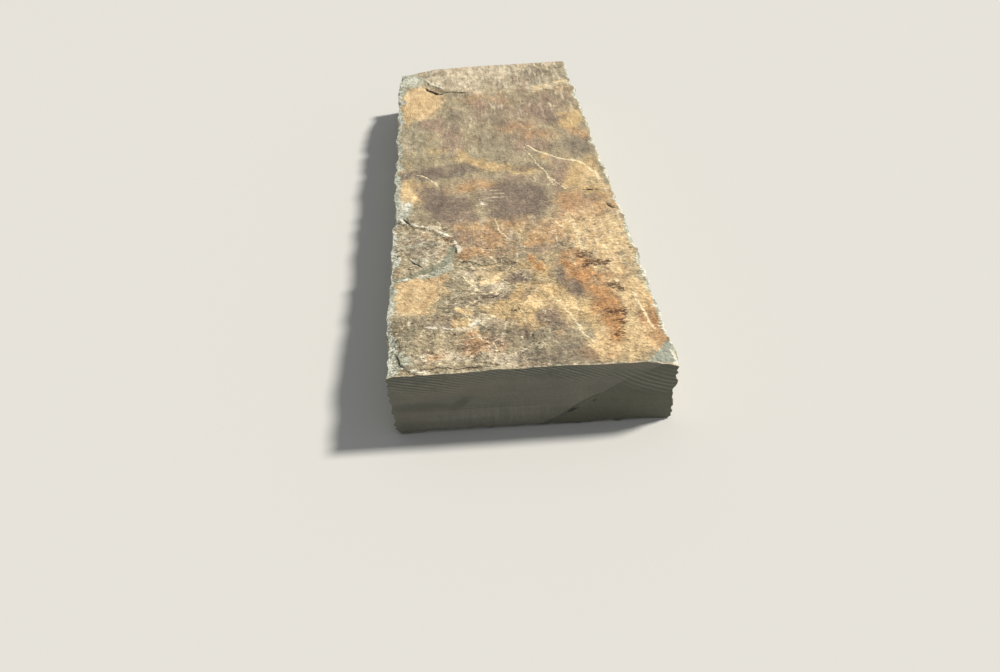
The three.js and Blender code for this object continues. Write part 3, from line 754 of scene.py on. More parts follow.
def slab_mesh():
    """The slab's closed mesh: the top, the two split edges, the two sawn ends and the underside share the
    points of their borders, and equal points are made one."""
    across = crowded(ACROSS)[None, :]
    along = (crowded(ALONG)[:, None] - 0.5) * LENGTH
    top = level_points(across, along, THICKNESS, top_height)
    rim = level_points(across, along, 0, bed_height)
    left = edge_points(-1, along, rim[:, 0], top[:, 0])
    right = edge_points(1, along, rim[:, -1], top[:, -1])
    front = end_points(-1, left[0], right[0], rim[0], top[0])
    back = end_points(1, left[-1], right[-1], rim[-1], top[-1])

    bed_across = blend(BED_MARGIN / WIDTH, 1 - BED_MARGIN / WIDTH, crowded(BED_ACROSS))[None, :]
    bed_along = (crowded(BED_ALONG)[:, None] - 0.5) * (LENGTH - 2 * BED_MARGIN)
    bed = level_points(bed_across, bed_along, 0, bed_height)

    grids = (top, left, right, front, back, bed, rim)
    starts = np.cumsum([0] + [grid[..., 0].size for grid in grids])
    numbers = [
        np.arange(grid[..., 0].size).reshape(grid.shape[:2]) + start for grid, start in zip(grids, starts)
    ]
    faces = [grid_faces(*which) for which in zip(numbers, (False, False, True, False, True, True))]
    ring = stitch(*border(numbers[-1]), *border(numbers[-2]))
    faces.append(ring[:, ::-1])
    finishes = np.repeat((0, 1, 1, 2, 2, 3, 3), [len(part) for part in faces])
    points = np.concatenate([grid.reshape(-1, 3) for grid in grids])
    return weld(points, np.concatenate(faces), finishes)


def weld(points, faces, finishes):
    """Equal points become one, points that no face uses are dropped, and so are faces with no area left."""
    points, same = np.unique(np.float32(points), axis=0, return_inverse=True)
    faces = same.ravel()[faces]
    whole = (faces[:, 0] != faces[:, 1]) & (faces[:, 1] != faces[:, 2]) & (faces[:, 2] != faces[:, 0])
    used, renumbered = np.unique(faces[whole], return_inverse=True)
    return points[used], renumbered.reshape(-1, 3), finishes[whole]


def add_values(mesh, name, values):
    """Keeps one number for each point of the mesh under a name that materials read."""
    mesh.attributes.new(name, "FLOAT", "POINT").data.foreach_set("value", np.float32(values))


def keep_line_mark(mesh, name, x, y, marks):
    """Keeps the distance to the nearest of several lines, and the half width drawn there."""
    nearest, width = line_mark(x, y, marks)
    add_values(mesh, name, nearest)
    add_values(mesh, name + "_width", width)


def place(name, data):
    """A new object that holds the data, at the origin and in the scene."""
    placed = bpy.data.objects.new(name, data)
    bpy.context.scene.collection.objects.link(placed)
    return placed


def make_slab():
    """The slab as one object, with what its materials read kept at its points."""
    points, faces, finishes = slab_mesh()
    mesh = bpy.data.meshes.new("slate_slab")
    mesh.from_pydata(points.tolist(), [], faces.tolist())
    for material in (weathered_cleft(), split_edge(), sawn_end(), sheltered_cleft()):
        mesh.materials.append(material)
    mesh.polygons.foreach_set("material_index", np.int32(finishes))
    mesh.polygons.foreach_set("use_smooth", np.ones(len(faces), bool))
    mesh.set_sharp_from_angle(angle=math.radians(SHARP_ANGLE))
    keep_top_values(mesh, *np.float64(points).T)
    keep_edge_values(mesh, *np.float64(points).T)
    return place("slate_slab", mesh)


def keep_top_values(mesh, x, y, z):
    """Keeps at the points what the weathered top reads: stains, marks in lines, and how chipped, shelly and
    grainy the stone is there."""
    drift_x = x + STAIN_DRIFT * sized(rough, x, y, STAIN_DRIFT_SIZE, 161)
    drift_y = y + STAIN_DRIFT * sized(rough, x, y, STAIN_DRIFT_SIZE, 167)
    for name, blots in STAINS.items():
        add_values(mesh, name, stain_strength(drift_x, drift_y, blots))
    torn_x, torn_y = ragged(x, y)
    for name, marks in (
        ("crack_shadow", [(width, line) for width, _, line in CRACKS.values()]),
        ("crest_highlight_and_streak", CRESTS.values()),
        ("bruise", BRUISES.values()),
        ("ledge", LEDGE),
    ):
        keep_line_mark(mesh, name, torn_x, torn_y, marks)

    from_left = (x - edge_x(-1, y, THICKNESS)) / chip_reach(y, LEFT_CHIP)
    from_right = (edge_x(1, y, THICKNESS) - x) / chip_reach(y, RIGHT_CHIP)
    chipped = 1 - np.minimum(from_left, from_right)
    knocked = corner_share(WIDTH / 2 - torn_x, torn_y + LENGTH / 2, FRONT_CHIP)
    add_values(mesh, "chipped", np.clip(chipped, -1, 1))
    add_values(mesh, "knocked", np.where(knocked > 0, knocked * KNOCKED_STEEPNESS, -1))
    add_values(mesh, "shelly", shelly(x, y))
    add_values(mesh, "grainy", 1 - smooth(y, -GRAINY_REACH, GRAINY_REACH))
    add_values(mesh, "from_top", 1000 * (top_height(x, y) - z))
    add_values(mesh, "from_end", 1000 * (LENGTH / 2 - abs(y)))


def keep_edge_values(mesh, x, y, z):
    """Keeps at the points what the sawn ends and the split edges read. The back end has the front one's
    marks turned round, but not its scars."""
    facing = np.where(y < 0, x, -x)
    for name, areas in END_AREAS.items():
        add_values(mesh, name, stain_strength(facing, z, areas))
    add_values(mesh, "cut_edge", 1000 * beside_line(facing, z, CUT_EDGE)[0])
    keep_line_mark(mesh, "saw_line", facing, z, SAW_LINES)
    # Painted shadow: the front end's scars drawn near-black out to where the colour ends
    hollow_shade = np.max([SCAR_SHADOW - ellipse_distance(x, z, *scar) for scar, _ in END_SCARS], axis=0)
    add_values(mesh, "end_scar_shadow", np.where(y < 0, hollow_shade, -FAR_OFF))
    add_values(mesh, "relief", 1000 * np.where(x < 0, laminae(-1, y, z), laminae(1, y, z)))


def linear(code):
    """A hex sRGB colour as linear red, green, blue and alpha: each channel through the sRGB curve."""
    channels = [int(code[k:k + 2], 16) / 255 for k in (1, 3, 5)]
    return [c / 12.92 if c <= 0.04045 else ((c + 0.055) / 1.055) ** 2.4 for c in channels] + [1]


def add(tree, kind, *inputs, gives=0, shades=(), **settings):
    """Adds one shader node and gives back one of its outputs, or the node itself where gives is None. The
    inputs feed its sockets in order, or by name in a dictionary: each is a value, a hex colour or the
    output that feeds it. The settings are the node's properties, and shades are a ramp's hex colours at
    even steps."""
    node = tree.nodes.new("ShaderNode" + kind)
    for name, value in settings.items():
        setattr(node, name, value)
    for k in range(1, len(shades) - 1):
        node.color_ramp.elements.new(k / (len(shades) - 1))
    for k, code in enumerate(shades):
        node.color_ramp.elements[k].color = linear(code)
    sources = inputs[0] if inputs and isinstance(inputs[0], dict) else dict(enumerate(inputs))
    for socket, value in sources.items():
        if isinstance(value, bpy.types.NodeSocket):
            tree.links.new(value, node.inputs[socket])
        else:
            node.inputs[socket].default_value = linear(value) if isinstance(value, str) else value
    return node if gives is None else node.outputs[gives]


def new_finish(name):
    """An empty node material with its shader, and the Object coordinates that its patterns read."""
    material = bpy.data.materials.new(name)
    material.use_nodes = True
    tree = material.node_tree
    tree.nodes.clear()
    shader = add(tree, "BsdfPrincipled", {"IOR": 1.5, "Metallic": 0.0})
    add(tree, "OutputMaterial", shader, gives=None)
    return material, tree, shader.node, add(tree, "TexCoord", gives="Object")


# Patterns of the materials. Slate's own grain is under 0.1 mm, too fine to show, so it is drawn as coarse as
# it needs to be seen: about 1 mm here, and 1 to 2 mm on the top.
GRAIN_SIZE = (0.0008, 0.0008, 0.0008)
PATCH_SHIFT = 1.37  # metres between the patches of noise that two patterns take for their own
SHELL_BENDS, SHELL_BEND_REACH = 1.3, 0.9  # bends to each shell, and how far they go, in shells


def mottling(tree, places, sizes, detail=5, spread=0.20, turn=0.0, shift=0, axis=2, roughness=0.62):
    """Noise from 0 to 1 in blotches of real sizes along X, Y and Z. They may be turned about one axis, and
    moved along to a patch of noise of their own. The noise's middle range is spread out."""
    angles = [turn if k == axis else 0.0 for k in range(3)]
    placing = {"Vector": places, "Location": (PATCH_SHIFT * shift, 0, 0), "Rotation": angles, "Scale": sizes}
    mapped = add(tree, "Mapping", placing, vector_type="TEXTURE")
    noise = add(tree, "TexNoise", {"Vector": mapped, "Scale": 1.0, "Detail": detail, "Roughness": roughness})
    return add(tree, "MapRange", noise, 0.5 - spread, 0.5 + spread)


def weighed(tree, *parts):
    """The sum of fields, each times its own weight."""
    total = 0.0
    for field, weight in parts:
        total = add(tree, "Math", field, weight, total, operation="MULTIPLY_ADD")
    return total


def coat(tree, under, over, field, low, high, most=1.0):
    """One colour laid over another: not at all where the field is low, most where it is high, along an S."""
    share = add(tree, "MapRange", field, low, high, 0.0, most, interpolation_type="SMOOTHSTEP")
    return add(tree, "Mix", {0: share, 6: under, 7: over}, gives=2, data_type="RGBA")


def coat_line(tree, under, over, name, wobble, height, softness, most):
    """A colour laid along a stored line, where the line's half width less the distance to it is above a
    wobble of this height. All are in millimetres."""
    away = add(tree, "Math", add(tree, "Attribute", gives="Fac", attribute_name=name), operation="ABSOLUTE")
    half_width = add(tree, "Attribute", gives="Fac", attribute_name=name + "_width")
    inside = weighed(tree, (half_width, 1), (away, -1), (wobble, height))
    return coat(tree, under, over, inside, 0.5 * height - softness, 0.5 * height + softness, most)


def shaded(tree, colour, field, depth, share=1.0):
    """A colour made lighter and darker by a field from 0 to 1, about its own value, as the share allows."""
    value = add(tree, "Math", field, depth, 1 - 0.5 * depth, operation="MULTIPLY_ADD")
    return add(tree, "HueSaturation", {"Color": colour, "Value": value, "Fac": share})


def shell_pattern(tree, places, size):
    """Flat shells of a real mean size, their outlines bent by noise: three values of its own for each, and
    the distance from its outline as a share of the size."""
    bend = add(tree, "TexNoise", {"Vector": places, "Scale": SHELL_BENDS / size, "Detail": 3}, gives="Color")
    bent = add(tree, "VectorMath", bend, [SHELL_BEND_REACH * size] * 3, places, operation="MULTIPLY_ADD")
    cells = {"Vector": bent, "Scale": 1 / size}
    tones = add(tree, "TexVoronoi", cells, gives="Color")
    outline = add(tree, "TexVoronoi", cells, gives="Distance", feature="DISTANCE_TO_EDGE")
    return add(tree, "SeparateColor", tones, gives=None).outputs, outline


def finish(tree, shader, colour, roughness, relief, height):
    """Links a material's colour and roughness to its shader, and its relief by a bump of a real height."""
    normal = add(tree, "Bump", {"Height": relief, "Strength": 1.0, "Distance": height})
    for socket, source in (("Base Color", colour), ("Roughness", roughness), ("Normal", normal)):
        tree.links.new(source, shader.inputs[socket])


# Pigments of the top, laid one over another: dark and pale shade, patch size in metres, how far patches move
# the stain's edge, how soft that edge is, and the most that it covers
PIGMENTS = {
    "olive": ("#80785f", "#b2a88b", 0.016, 1.1, 0.50, 0.75),
    "mauve": ("#836a5a", "#b79d86", 0.016, 1.1, 0.50, 0.78),
    "bleached": ("#b5a589", "#f0e1c2", 0.014, 1.1, 0.45, 0.85),
    "grey": ("#6c6455", "#9f927c", 0.016, 1.0, 0.50, 0.80),
    "ochre": ("#bb9863", "#efd199", 0.014, 1.1, 0.45, 0.85),
    "orange": ("#ac8052", "#dfb07c", 0.014, 1.1, 0.55, 0.70),
    "cream": ("#d0ad79", "#f8dca8", 0.013, 1.1, 0.45, 0.88),
    "purple": ("#655850", "#968371", 0.014, 1.0, 0.50, 0.85),
    "rust": ("#a66d3b", "#e3a968", 0.011, 1.0, 0.60, 0.80),
    "buff": ("#c79b69", "#f2dba9", 0.012, 0.36, 0.20, 0.88),
}
STAIN_MIDDLE = 0.45  # stored strength at which a stain covers half as much as it ever does
FINE_PUSH, MOTTLE_PUSH = 0.14, 0.16  # how far the top's fine grain and mottles move the stains' edges
TOP_VALUES = (*STAINS, "chipped", "knocked", "shelly", "grainy", "from_end")


def fresh_stone(tree, places, fine):
    """Newly broken slate: dull grey-green with pale buff where the light finds its thin layers."""
    layered = mottling(tree, places, (0.004, 0.012, 0.002), detail=4)
    tone = weighed(tree, (layered, 0.5), (fine, 0.5))
    return add(tree, "ValToRGB", tone, shades=("#8a8d79", "#b6b9a4", "#dcddca"))


def top_patterns(tree, places, kept):
    """Patterns of the top by name, each from 0 to 1, from slow clouds down to single grains. The fibres lie
    along the slab, lean where a stored value says so, and give way to specks where it is shelly or grainy.
    The mottles are long at the back and wide at the front."""
    made = {
        "blotches": mottling(tree, places, (0.030, 0.048, 0.030)),
        "clouds": mottling(tree, places, (0.013, 0.024, 0.013), detail=3, shift=24),
        "specks": mottling(tree, places, (0.0040, 0.0026, 0.0034), detail=3, shift=2),
        "grain": mottling(tree, places, (0.0018, 0.0012, 0.0014), detail=2, roughness=0.7),
    }
    long_ones = mottling(tree, places, (0.0070, 0.0125, 0.0070), shift=1)
    wide_ones = mottling(tree, places, (0.0115, 0.0075, 0.0080), shift=5)
    made["mottles"] = add(tree, "Mix", {0: kept["grainy"], 2: long_ones, 3: wide_ones}, data_type="FLOAT")
    straight = mottling(tree, places, (0.0038, 0.036, 0.004), detail=4, shift=3)
    slanted = mottling(tree, places, (0.0024, 0.013, 0.002), detail=3, shift=4, turn=-0.5)
    leaning = weighed(tree, (kept["slanted"], 1), (made["mottles"], 0.4))
    leaning = add(tree, "MapRange", leaning, 0.4, 0.8)
    fibres = add(tree, "Mix", {0: leaning, 2: straight, 3: slanted}, data_type="FLOAT")
    fibrous = weighed(tree, (kept["shelly"], -0.35), (kept["grainy"], -0.60), (1.0, 1.0))
    made["fibres"] = add(tree, "Mix", {0: fibrous, 2: made["specks"], 3: fibres}, data_type="FLOAT")
    made["fine"] = weighed(tree, (made["fibres"], 0.26), (made["specks"], 0.38), (made["grain"], 0.36))
    made["broken"] = weighed(tree, (made["mottles"], 0.5), (made["specks"], 0.5))
    return made


def stained(tree, places, colour, kept, made, shells, scaly):
    """The stone's own colour under its stains: each stain's edge is moved by patches of its own, and by
    whole shells where the stone is scaly."""
    fine, mottles = made["fine"], made["mottles"]
    moves = [weighed(tree, (shell, 0.7), (1.0, -0.35)) for shell in shells]
    moves = [add(tree, "Math", move, scaly, operation="MULTIPLY") for move in moves]
    for k, (name, (dark, pale, size, push, softness, most)) in enumerate(PIGMENTS.items()):
        patches = mottling(tree, places, (size, 1.6 * size, size), detail=5, roughness=0.60, shift=7 + k)
        pushed = ((patches, push), (fine, FINE_PUSH), (mottles, MOTTLE_PUSH))
        edge = weighed(tree, *pushed, (kept[name], 1.0), (moves[k % 3], 1))
        middle = STAIN_MIDDLE + 0.5 * sum(weight for _, weight in pushed)
        low, high = middle - softness, middle + softness
        inner = weighed(tree, (patches, 0.40), (mottles, 0.3), (made["clouds"], 0.15), (fine, 0.15))
        stain = add(tree, "Mix", {0: inner, 6: dark, 7: pale}, gives=2, data_type="RGBA")
        share = add(tree, "MapRange", edge, low, high, 0.0, most, interpolation_type="SMOOTHSTEP")
        present = add(tree, "MapRange", kept[name], -0.05, 0.30)
        share = add(tree, "Math", share, present, operation="MULTIPLY")
        colour = add(tree, "Mix", {0: share, 6: colour, 7: stain}, gives=2, data_type="RGBA")
    return colour


def streaked(tree, places, colour, kept, made):
    """Streaks rubbed along the stone, pale and dull, a few across it, and short pale leaning splinters."""
    along = mottling(tree, places, (0.0042, 0.040, 0.0042), detail=4, shift=20)
    along = weighed(tree, (along, 1), (kept["streaky"], 0.42), (made["mottles"], 0.25))
    colour = coat(tree, colour, "#eadebf", along, 0.92, 1.35, 0.52)
    dull = mottling(tree, places, (0.0060, 0.050, 0.006), detail=4, shift=25)
    dull = weighed(tree, (dull, -1), (kept["streaky"], 0.35), (made["mottles"], -0.25))
    colour = coat(tree, colour, "#7d6c57", dull, -0.30, 0.15, 0.38)
    across = mottling(tree, places, (0.024, 0.0034, 0.003), detail=3, shift=23)
    across = weighed(tree, (across, 1), (kept["crosswise"], 0.6), (made["mottles"], 0.15))
    colour = coat(tree, colour, "#ead9b4", across, 1.15, 1.40, 0.7)
    ticks = mottling(tree, places, (0.0017, 0.0090, 0.002), detail=2, shift=26, turn=-0.9)
    ticks = weighed(tree, (ticks, 1), (kept["slanted"], 0.30), (made["mottles"], 0.15))
    return coat(tree, colour, "#f2e8ca", ticks, 1.12, 1.30, 0.65)


def scaled(tree, colour, made, shells, rims, facets, scaly):
    """Thin shells of cleavage, each of its own tone, with a rim painted pale here as highlight and dark
    there as shadow.
    """
    colour = shaded(tree, colour, shells[0], 0.24, scaly)
    colour = shaded(tree, colour, facets[0], 0.26, scaly)
    rim = add(tree, "MapRange", rims, 0.060, 0.015)
    rim = add(tree, "Math", rim, scaly, operation="MULTIPLY")
    # Painted highlight and shadow: a pale rim on some shells, a dark rim on others
    for rim_shading, none_at, full_at, most in (("#ecdfbc", 0.46, 0.60, 0.60), ("#50452f", 0.42, 0.32, 0.75)):
        part = add(tree, "MapRange", made["broken"], none_at, full_at)
        part = add(tree, "Math", rim, part, operation="MULTIPLY")
        colour = coat(tree, colour, rim_shading, part, 0.0, 1.0, most)
    return colour


def damaged(tree, places, colour, kept, made):
    """Where the weathered skin is gone: fresh stone in scars, on chipped arrises and at the knocked corner,
    crushed white stone, the smooth ledge, and the worn sawn arris. Crests are painted pale as their
    highlight, with some pale streaks."""
    broken, fine = made["broken"], made["fine"]
    fresh = fresh_stone(tree, places, fine)
    bare = weighed(tree, (kept["fresh"], 1), (broken, 0.9))
    colour = coat(tree, colour, fresh, bare, 0.85, 1.25, 0.85)
    colour = coat(tree, colour, "#f1eedb", bare, 1.50, 2.05, 0.55)
    smooth_stone = weighed(tree, (made["mottles"], 0.6), (fine, 0.4))
    smooth_stone = add(tree, "Mix", {0: smooth_stone, 6: "#7f806a", 7: "#a6a68d"}, gives=2, data_type="RGBA")
    colour = coat_line(tree, colour, smooth_stone, "ledge", broken, 3.0, 0.8, 0.85)
    # Painted highlight: pale along the crests, and some pale streaks among them
    colour = coat_line(tree, colour, "#f5e3b8", "crest_highlight_and_streak", broken, 2.4, 0.7, 0.80)
    colour = coat_line(tree, colour, "#ece7d1", "bruise", broken, 6.0, 1.0, 0.82)
    rim = weighed(tree, (kept["chipped"], 1), (broken, 1.0))
    colour = coat(tree, colour, fresh, rim, 0.80, 1.00)
    knocked = weighed(tree, (kept["knocked"], 1), (broken, 0.9))
    dull = add(tree, "ValToRGB", broken, shades=("#7c7f6e", "#a2a594", "#b9bbaa"))
    colour = coat(tree, colour, dull, knocked, 0.45, 0.65)
    crushed = weighed(tree, (kept["chipped"], 0.8), (made["facets"], 0.7), (made["specks"], 0.4))
    colour = coat(tree, colour, "#e9e6d3", crushed, 0.96, 1.20, 0.78)
    worn = weighed(tree, (kept["from_end"], -1), (broken, 2.2))
    arris = add(tree, "Mix", {0: made["clouds"], 6: "#a7a68f", 7: "#ecd6b2"}, gives=2, data_type="RGBA")
    return coat(tree, colour, arris, worn, -0.9, 0.3, 0.75)


def weathered_cleft():
    """Natural cleft slate, long out in the weather: tan to olive grey, with stains of rust, ochre, cream
    and purple. It gives the eye a dry, matt face, grained all over, with long fibres and thin shells."""
    material, tree, shader, places = new_finish("weathered_cleft_slate")
    kept = {name: add(tree, "Attribute", gives="Fac", attribute_name=name) for name in TOP_VALUES}
    made = top_patterns(tree, places, kept)
    mottles, fibres, specks, grain = (made[name] for name in ("mottles", "fibres", "specks", "grain"))
    shells, rims = shell_pattern(tree, places, 0.019)
    facets, seams = shell_pattern(tree, places, 0.0055)
    made["facets"] = facets[0]
    scaly = weighed(tree, (kept["buff"], -1), (1.0, 1.0))
    scaly = add(tree, "Math", scaly, kept["shelly"], operation="MULTIPLY", use_clamp=True)

    tone = weighed(tree, (made["blotches"], 0.40), (made["clouds"], 0.20), (mottles, 0.25), (fibres, 0.15))
    colour = add(tree, "ValToRGB", tone, shades=("#7b6f55", "#9d8f73", "#b7a888", "#d6c8a4"))
    colour = stained(tree, places, colour, kept, made, shells, scaly)
    colour = streaked(tree, places, colour, kept, made)
    colour = shaded(tree, colour, made["clouds"], 0.30)
    # The mottles shade the colour with a noise that also raises the bump: partly the stone's tone, partly
    # painted light and shade
    colour = shaded(tree, colour, mottles, 0.30, weighed(tree, (kept["shelly"], -0.6), (1.0, 1.0)))
    colour = scaled(tree, colour, made, shells, rims, facets, scaly)
    colour = damaged(tree, places, colour, kept, made)

    flecks = mottling(tree, places, (0.0040, 0.0018, 0.0020), detail=3, shift=21)
    flecks = weighed(tree, (flecks, 1), (kept["umber"], 0.75))
    colour = coat(tree, colour, "#482a18", flecks, 1.08, 1.28, 0.85)
    # Painted shade: short dark strokes in small crevices, which also sink the bump
    nicks = mottling(tree, places, (0.0016, 0.0060, 0.002), detail=2, shift=22, turn=0.6)
    nicks = weighed(tree, (nicks, 1), (kept["shelly"], 0.07))
    colour = coat(tree, colour, "#4b3f2e", nicks, 0.92, 1.02, 0.6)
    # The fine grain shades the colour with the noises that make the bump: partly the stone's grain, partly
    # painted shade in its small hollows and painted light on what stands up
    clean = add(tree, "MapRange", kept["knocked"], 0.0, 2.0)
    worked = weighed(tree, (clean, -0.6), (kept["buff"], -0.4), (1.0, 1.0))
    colour = shaded(tree, colour, made["fine"], 0.50, worked)
    worked = add(tree, "Math", worked, kept["grainy"], operation="MULTIPLY")
    colour = shaded(tree, colour, made["fine"], 0.85, worked)
    # Painted shadow: the open cracks and the lines under small steps, drawn near-black
    colour = coat_line(tree, colour, "#1d1610", "crack_shadow", made["broken"], 0.9, 0.3, 0.94)

    scaly_relief = weighed(tree, (shells[0], 0.9), (facets[0], 0.45), (seams, 0.5))
    relief = weighed(tree, (mottles, 0.9), (fibres, 0.20), (specks, 0.42), (grain, 0.16), (nicks, -0.3))
    relief = add(tree, "Math", scaly_relief, scaly, relief, operation="MULTIPLY_ADD")
    finish(tree, shader, colour, weighed(tree, (mottles, 0.16), (0.74, 1)), relief, 0.0014)
    return material


def split_edge():
    """Slate split across its grain with a hammer: thin pale layers that end raggedly, with rust along some
    beds, painted shade where the relief sinks, and short slots between the layers painted dark as their
    shadow. It gives the eye a coarse, dry, splintered edge."""
    material, tree, shader, places = new_finish("hammer_split_slate")
    dip = {"turn": -math.atan(LAMINA_DIP), "axis": 0}
    layers = mottling(tree, places, (0.006, 0.034, 0.0017), detail=4, **dip)
    lenses = mottling(tree, places, (0.009, 0.034, 0.0075), shift=1, **dip)
    ribs = mottling(tree, places, (0.009, 0.014, 0.0030), detail=3, shift=5, turn=0.22, axis=0)
    specks = mottling(tree, places, (0.002, 0.0040, 0.0015), detail=3, shift=2)
    grain = mottling(tree, places, GRAIN_SIZE, detail=2)
    fine = weighed(tree, (layers, 0.40), (specks, 0.35), (grain, 0.25))
    tone = weighed(tree, (layers, 0.30), (lenses, 0.25), (ribs, 0.25), (specks, 0.20))
    colour = add(tree, "ValToRGB", tone, shades=("#8f8871", "#b9b298", "#d3ccb1", "#e9e3cc"))
    beds = mottling(tree, places, (0.030, 0.120, 0.010), detail=3, shift=3, **dip)
    colour = coat(tree, colour, "#b8925f", beds, 0.62, 1.00, 0.50)
    colour = coat(tree, colour, "#8b8776", beds, 0.35, 0.05, 0.45)
    # Painted shade: darker where the split edge's relief sinks
    hollow_shade = add(tree, "Attribute", gives="Fac", attribute_name="relief")
    hollow_shade = weighed(tree, (hollow_shade, -1), (fine, 0.8))
    colour = coat(tree, colour, "#544b3a", hollow_shade, 0.9, 2.4, 0.60)
    # Painted shadow: short dark slots between the layers, also sunk in the bump
    shadowed_slots = mottling(tree, places, (0.006, 0.0085, 0.0019), detail=2, shift=4, **dip)
    shadowed_slots = weighed(tree, (shadowed_slots, 1), (lenses, -0.12))
    colour = coat(tree, colour, "#352d20", shadowed_slots, 0.84, 0.96, 0.85)
    colour = shaded(tree, colour, fine, 0.50)
    relief = weighed(tree, (layers, 0.8), (specks, 0.35), (lenses, 0.6), (ribs, 0.8), (shadowed_slots, -0.7))
    finish(tree, shader, colour, weighed(tree, (lenses, 0.12), (0.80, 1)), relief, 0.0017)
    return material


# The disc saw's arcs at the left and the right: X and Z of the disc's centre, and the spacing of its ridges
LEFT_DISC, LEFT_SPACING = (-0.232, -0.55), 0.0027
RIGHT_DISC, RIGHT_SPACING = (0.147, 0.165), 0.0038
ARC_WOBBLE = 3.0  # radians by which noise moves the ridges


def saw_arcs(tree, flat, centre, spacing, wobble):
    """Ridges left by a disc saw, from 0 to 1: the sine of the distance from the disc's centre, counted in
    turns of the spacing, and moved a little by noise."""
    away = add(tree, "VectorMath", flat, (centre[0], 0, centre[1]), gives="Value", operation="DISTANCE")
    angle = weighed(tree, (away, 2 * math.pi / spacing), (wobble, ARC_WOBBLE))
    turns = add(tree, "Math", angle, operation="SINE")
    return weighed(tree, (turns, 0.5), (0.5, 1))


def sawn_end():
    """Slate cut by a disc saw: flat, dull grey-green, with the beds as faint bands, the blade's arcs across
    them, painted darker in their areas and paler on their ridges as shade and highlight, and a shallow step
    where two cuts met. It gives the eye a fine, even face."""
    material, tree, shader, places = new_finish("disc_sawn_slate")
    names = (*END_AREAS, "cut_edge", "end_scar_shadow", "from_top")
    kept = {name: add(tree, "Attribute", gives="Fac", attribute_name=name) for name in names}
    banding = mottling(tree, places, (0.080, 0.080, 0.0042), detail=3)
    clouds = mottling(tree, places, (0.040, 0.03, 0.022), shift=1)
    strokes = mottling(tree, places, (0.0016, 0.03, 0.011), detail=2, shift=2, turn=-0.5, axis=1)
    uprights = mottling(tree, places, (0.0032, 0.03, 0.035), detail=2, shift=3)
    patches = mottling(tree, places, (0.012, 0.012, 0.008), shift=4)
    grain = mottling(tree, places, GRAIN_SIZE, detail=2)
    flat = add(tree, "VectorMath", places, (1, 0, 1), operation="MULTIPLY")

    tone = weighed(tree, (banding, 0.25), (clouds, 0.40), (strokes, 0.20), (grain, 0.15))
    colour = add(tree, "ValToRGB", tone, shades=("#5e5e53", "#716f62", "#7f7d70"))
    below = weighed(tree, (kept["cut_edge"], 1), (grain, 0.5))
    below = add(tree, "MapRange", below, 0.05, 0.45, interpolation_type="SMOOTHSTEP")
    under_cut = add(tree, "ValToRGB", tone, shades=("#4f5041", "#656656"))
    colour = coat(tree, colour, under_cut, below, 0.0, 1.0, 0.85)
    warm = weighed(tree, (clouds, 1), (kept["warm_side"], 0.8))
    colour = coat(tree, colour, "#7d7465", warm, 0.8, 1.3, 0.5)
    dark = weighed(tree, (banding, 0.7), (strokes, 0.4), (kept["dark_bed"], 1))
    colour = coat(tree, colour, "#4c4e42", dark, 0.85, 1.45, 0.50)

    left_arcs = saw_arcs(tree, flat, LEFT_DISC, LEFT_SPACING, patches)
    right_arcs = saw_arcs(tree, flat, RIGHT_DISC, RIGHT_SPACING, weighed(tree, (patches, 0.4)))
    fade = add(tree, "MapRange", patches, 0.10, 0.50)
    left_arcs = add(tree, "Math", left_arcs, kept["left_arcs"], operation="MULTIPLY")
    left_arcs = add(tree, "Math", left_arcs, fade, operation="MULTIPLY")
    right_arcs = add(tree, "Math", right_arcs, kept["right_arcs"], operation="MULTIPLY")
    posts = add(tree, "Math", uprights, kept["uprights"], operation="MULTIPLY")
    marks = weighed(tree, (left_arcs, 2.0), (right_arcs, 1.0), (posts, 0.8))
    # Painted shade and highlight: the arcs' areas darker, and the ridges of the arcs and of the upright
    # marks paler
    areas = weighed(tree, (kept["left_arcs"], 1), (kept["right_arcs"], 1))
    colour = coat(tree, colour, "#555648", areas, 0.0, 1.0, 0.55)
    pale = weighed(tree, (marks, 0.40))
    colour = add(tree, "Mix", {0: pale, 6: colour, 7: "#9c9a8c"}, gives=2, data_type="RGBA")

    colour = coat_line(tree, colour, "#35352c", "saw_line", grain, 0.3, 0.2, 0.6)
    # Painted shadow: the scars near-black
    scar = weighed(tree, (kept["end_scar_shadow"], 1), (grain, 0.7))
    colour = coat(tree, colour, "#24231d", scar, 0.65, 0.85, 0.85)
    at_arris = weighed(tree, (kept["from_top"], -1), (patches, 1.6))
    colour = coat(tree, colour, "#7f7463", at_arris, -0.4, 0.7, 0.6)
    colour = shaded(tree, colour, grain, 0.22)
    relief = weighed(tree, (grain, 0.15), (strokes, 0.25), (marks, 1.0), (below, -1.5))
    finish(tree, shader, colour, weighed(tree, (clouds, 0.1), (0.58, 1)), relief, 0.0005)
    return material


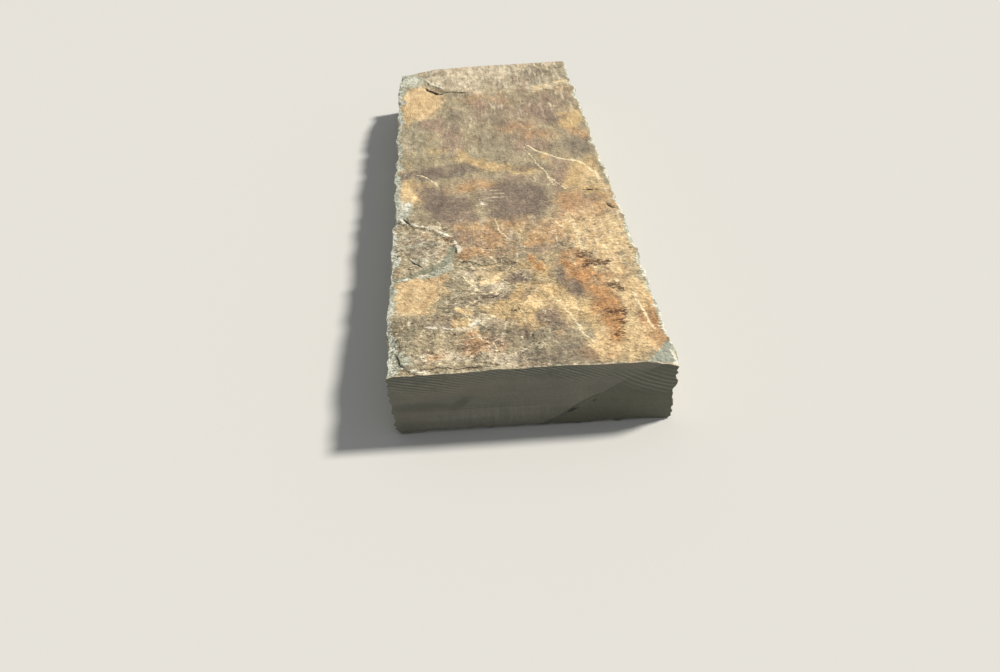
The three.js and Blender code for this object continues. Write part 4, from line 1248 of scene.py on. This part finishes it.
def sheltered_cleft():
    """Natural cleft slate that lies out of the weather: grey-buff with olive and rusty clouds. It gives the
    eye the top's dry grain without its strong stains."""
    material, tree, shader, places = new_finish("sheltered_cleft_slate")
    clouds = mottling(tree, places, (0.036, 0.070, 0.04))
    mottles = mottling(tree, places, (0.0075, 0.0105, 0.0075), shift=1)
    specks = mottling(tree, places, (0.0024, 0.0030, 0.0024), detail=3, shift=2)
    fibres = mottling(tree, places, (0.0020, 0.022, 0.002), detail=3, shift=3)
    grain = mottling(tree, places, (0.0009, 0.0009, 0.0009), detail=2)
    fine = weighed(tree, (fibres, 0.35), (specks, 0.35), (grain, 0.30))
    tone = weighed(tree, (mottles, 0.5), (fibres, 0.5))
    colour = add(tree, "ValToRGB", tone, shades=("#807861", "#a09880", "#bab294"))
    colour = coat(tree, colour, "#a97f4e", weighed(tree, (clouds, 1), (fine, 0.3)), 0.75, 1.2, 0.6)
    colour = coat(tree, colour, "#767463", clouds, 0.40, 0.05, 0.6)
    colour = shaded(tree, colour, fine, 0.5)
    relief = weighed(tree, (mottles, 0.9), (fibres, 0.55), (specks, 0.6), (grain, 0.2))
    finish(tree, shader, colour, weighed(tree, (mottles, 0.1), (0.78, 1)), relief, 0.0011)
    return material


def make_camera():
    """The camera at the photograph's viewing angle."""
    data = bpy.data.cameras.new("camera")
    data.lens = CAMERA_LENS
    data.sensor_width = CAMERA_SENSOR
    camera = place("camera", data)
    camera.location = CAMERA_PLACE
    camera.rotation_euler = [math.radians(angle) for angle in CAMERA_TURN]
    bpy.context.scene.camera = camera


def add_key():
    """The key: a far, soft-edged light from the right and a little behind, as high as the photograph's
    shadow says."""
    data = bpy.data.lights.new("key", "SUN")
    data.energy = KEY_STRENGTH
    data.angle = math.radians(KEY_SOFTNESS)
    data.color = linear("#fffaf3")[:3]
    light = place("key", data)
    light.location = KEY_FROM
    light.rotation_euler = Vector(KEY_FROM).to_track_quat("Z", "Y").to_euler()


def make_studio():
    """A plain pale floor, a soft key light from the right and behind, and an even pale surround as fill."""
    mesh = bpy.data.meshes.new("floor")
    corners = [(x * FLOOR_HALF, y * FLOOR_HALF, 0) for x, y in ((-1, -1), (1, -1), (1, 1), (-1, 1))]
    mesh.from_pydata(corners, [], [(0, 1, 2, 3)])
    material = bpy.data.materials.new("pale_floor")
    material.use_nodes = True
    shader = material.node_tree.nodes["Principled BSDF"]
    shader.inputs["Base Color"].default_value = linear("#d6d5d0")
    shader.inputs["Roughness"].default_value = 1.0
    shader.inputs["Specular IOR Level"].default_value = 0.1
    mesh.materials.append(material)
    floor = place("floor", mesh)

    add_key()
    world = bpy.data.worlds.new("surround")
    world.use_nodes = True
    light = world.node_tree.nodes["Background"]
    light.inputs["Color"].default_value = linear("#eef2f7")
    light.inputs["Strength"].default_value = SURROUND_STRENGTH
    bpy.context.scene.world = world
    bpy.context.scene.view_settings.view_transform = "Standard"


make_camera()
make_studio()
slab = make_slab()
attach(slab, "root")
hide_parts("wall_cap")
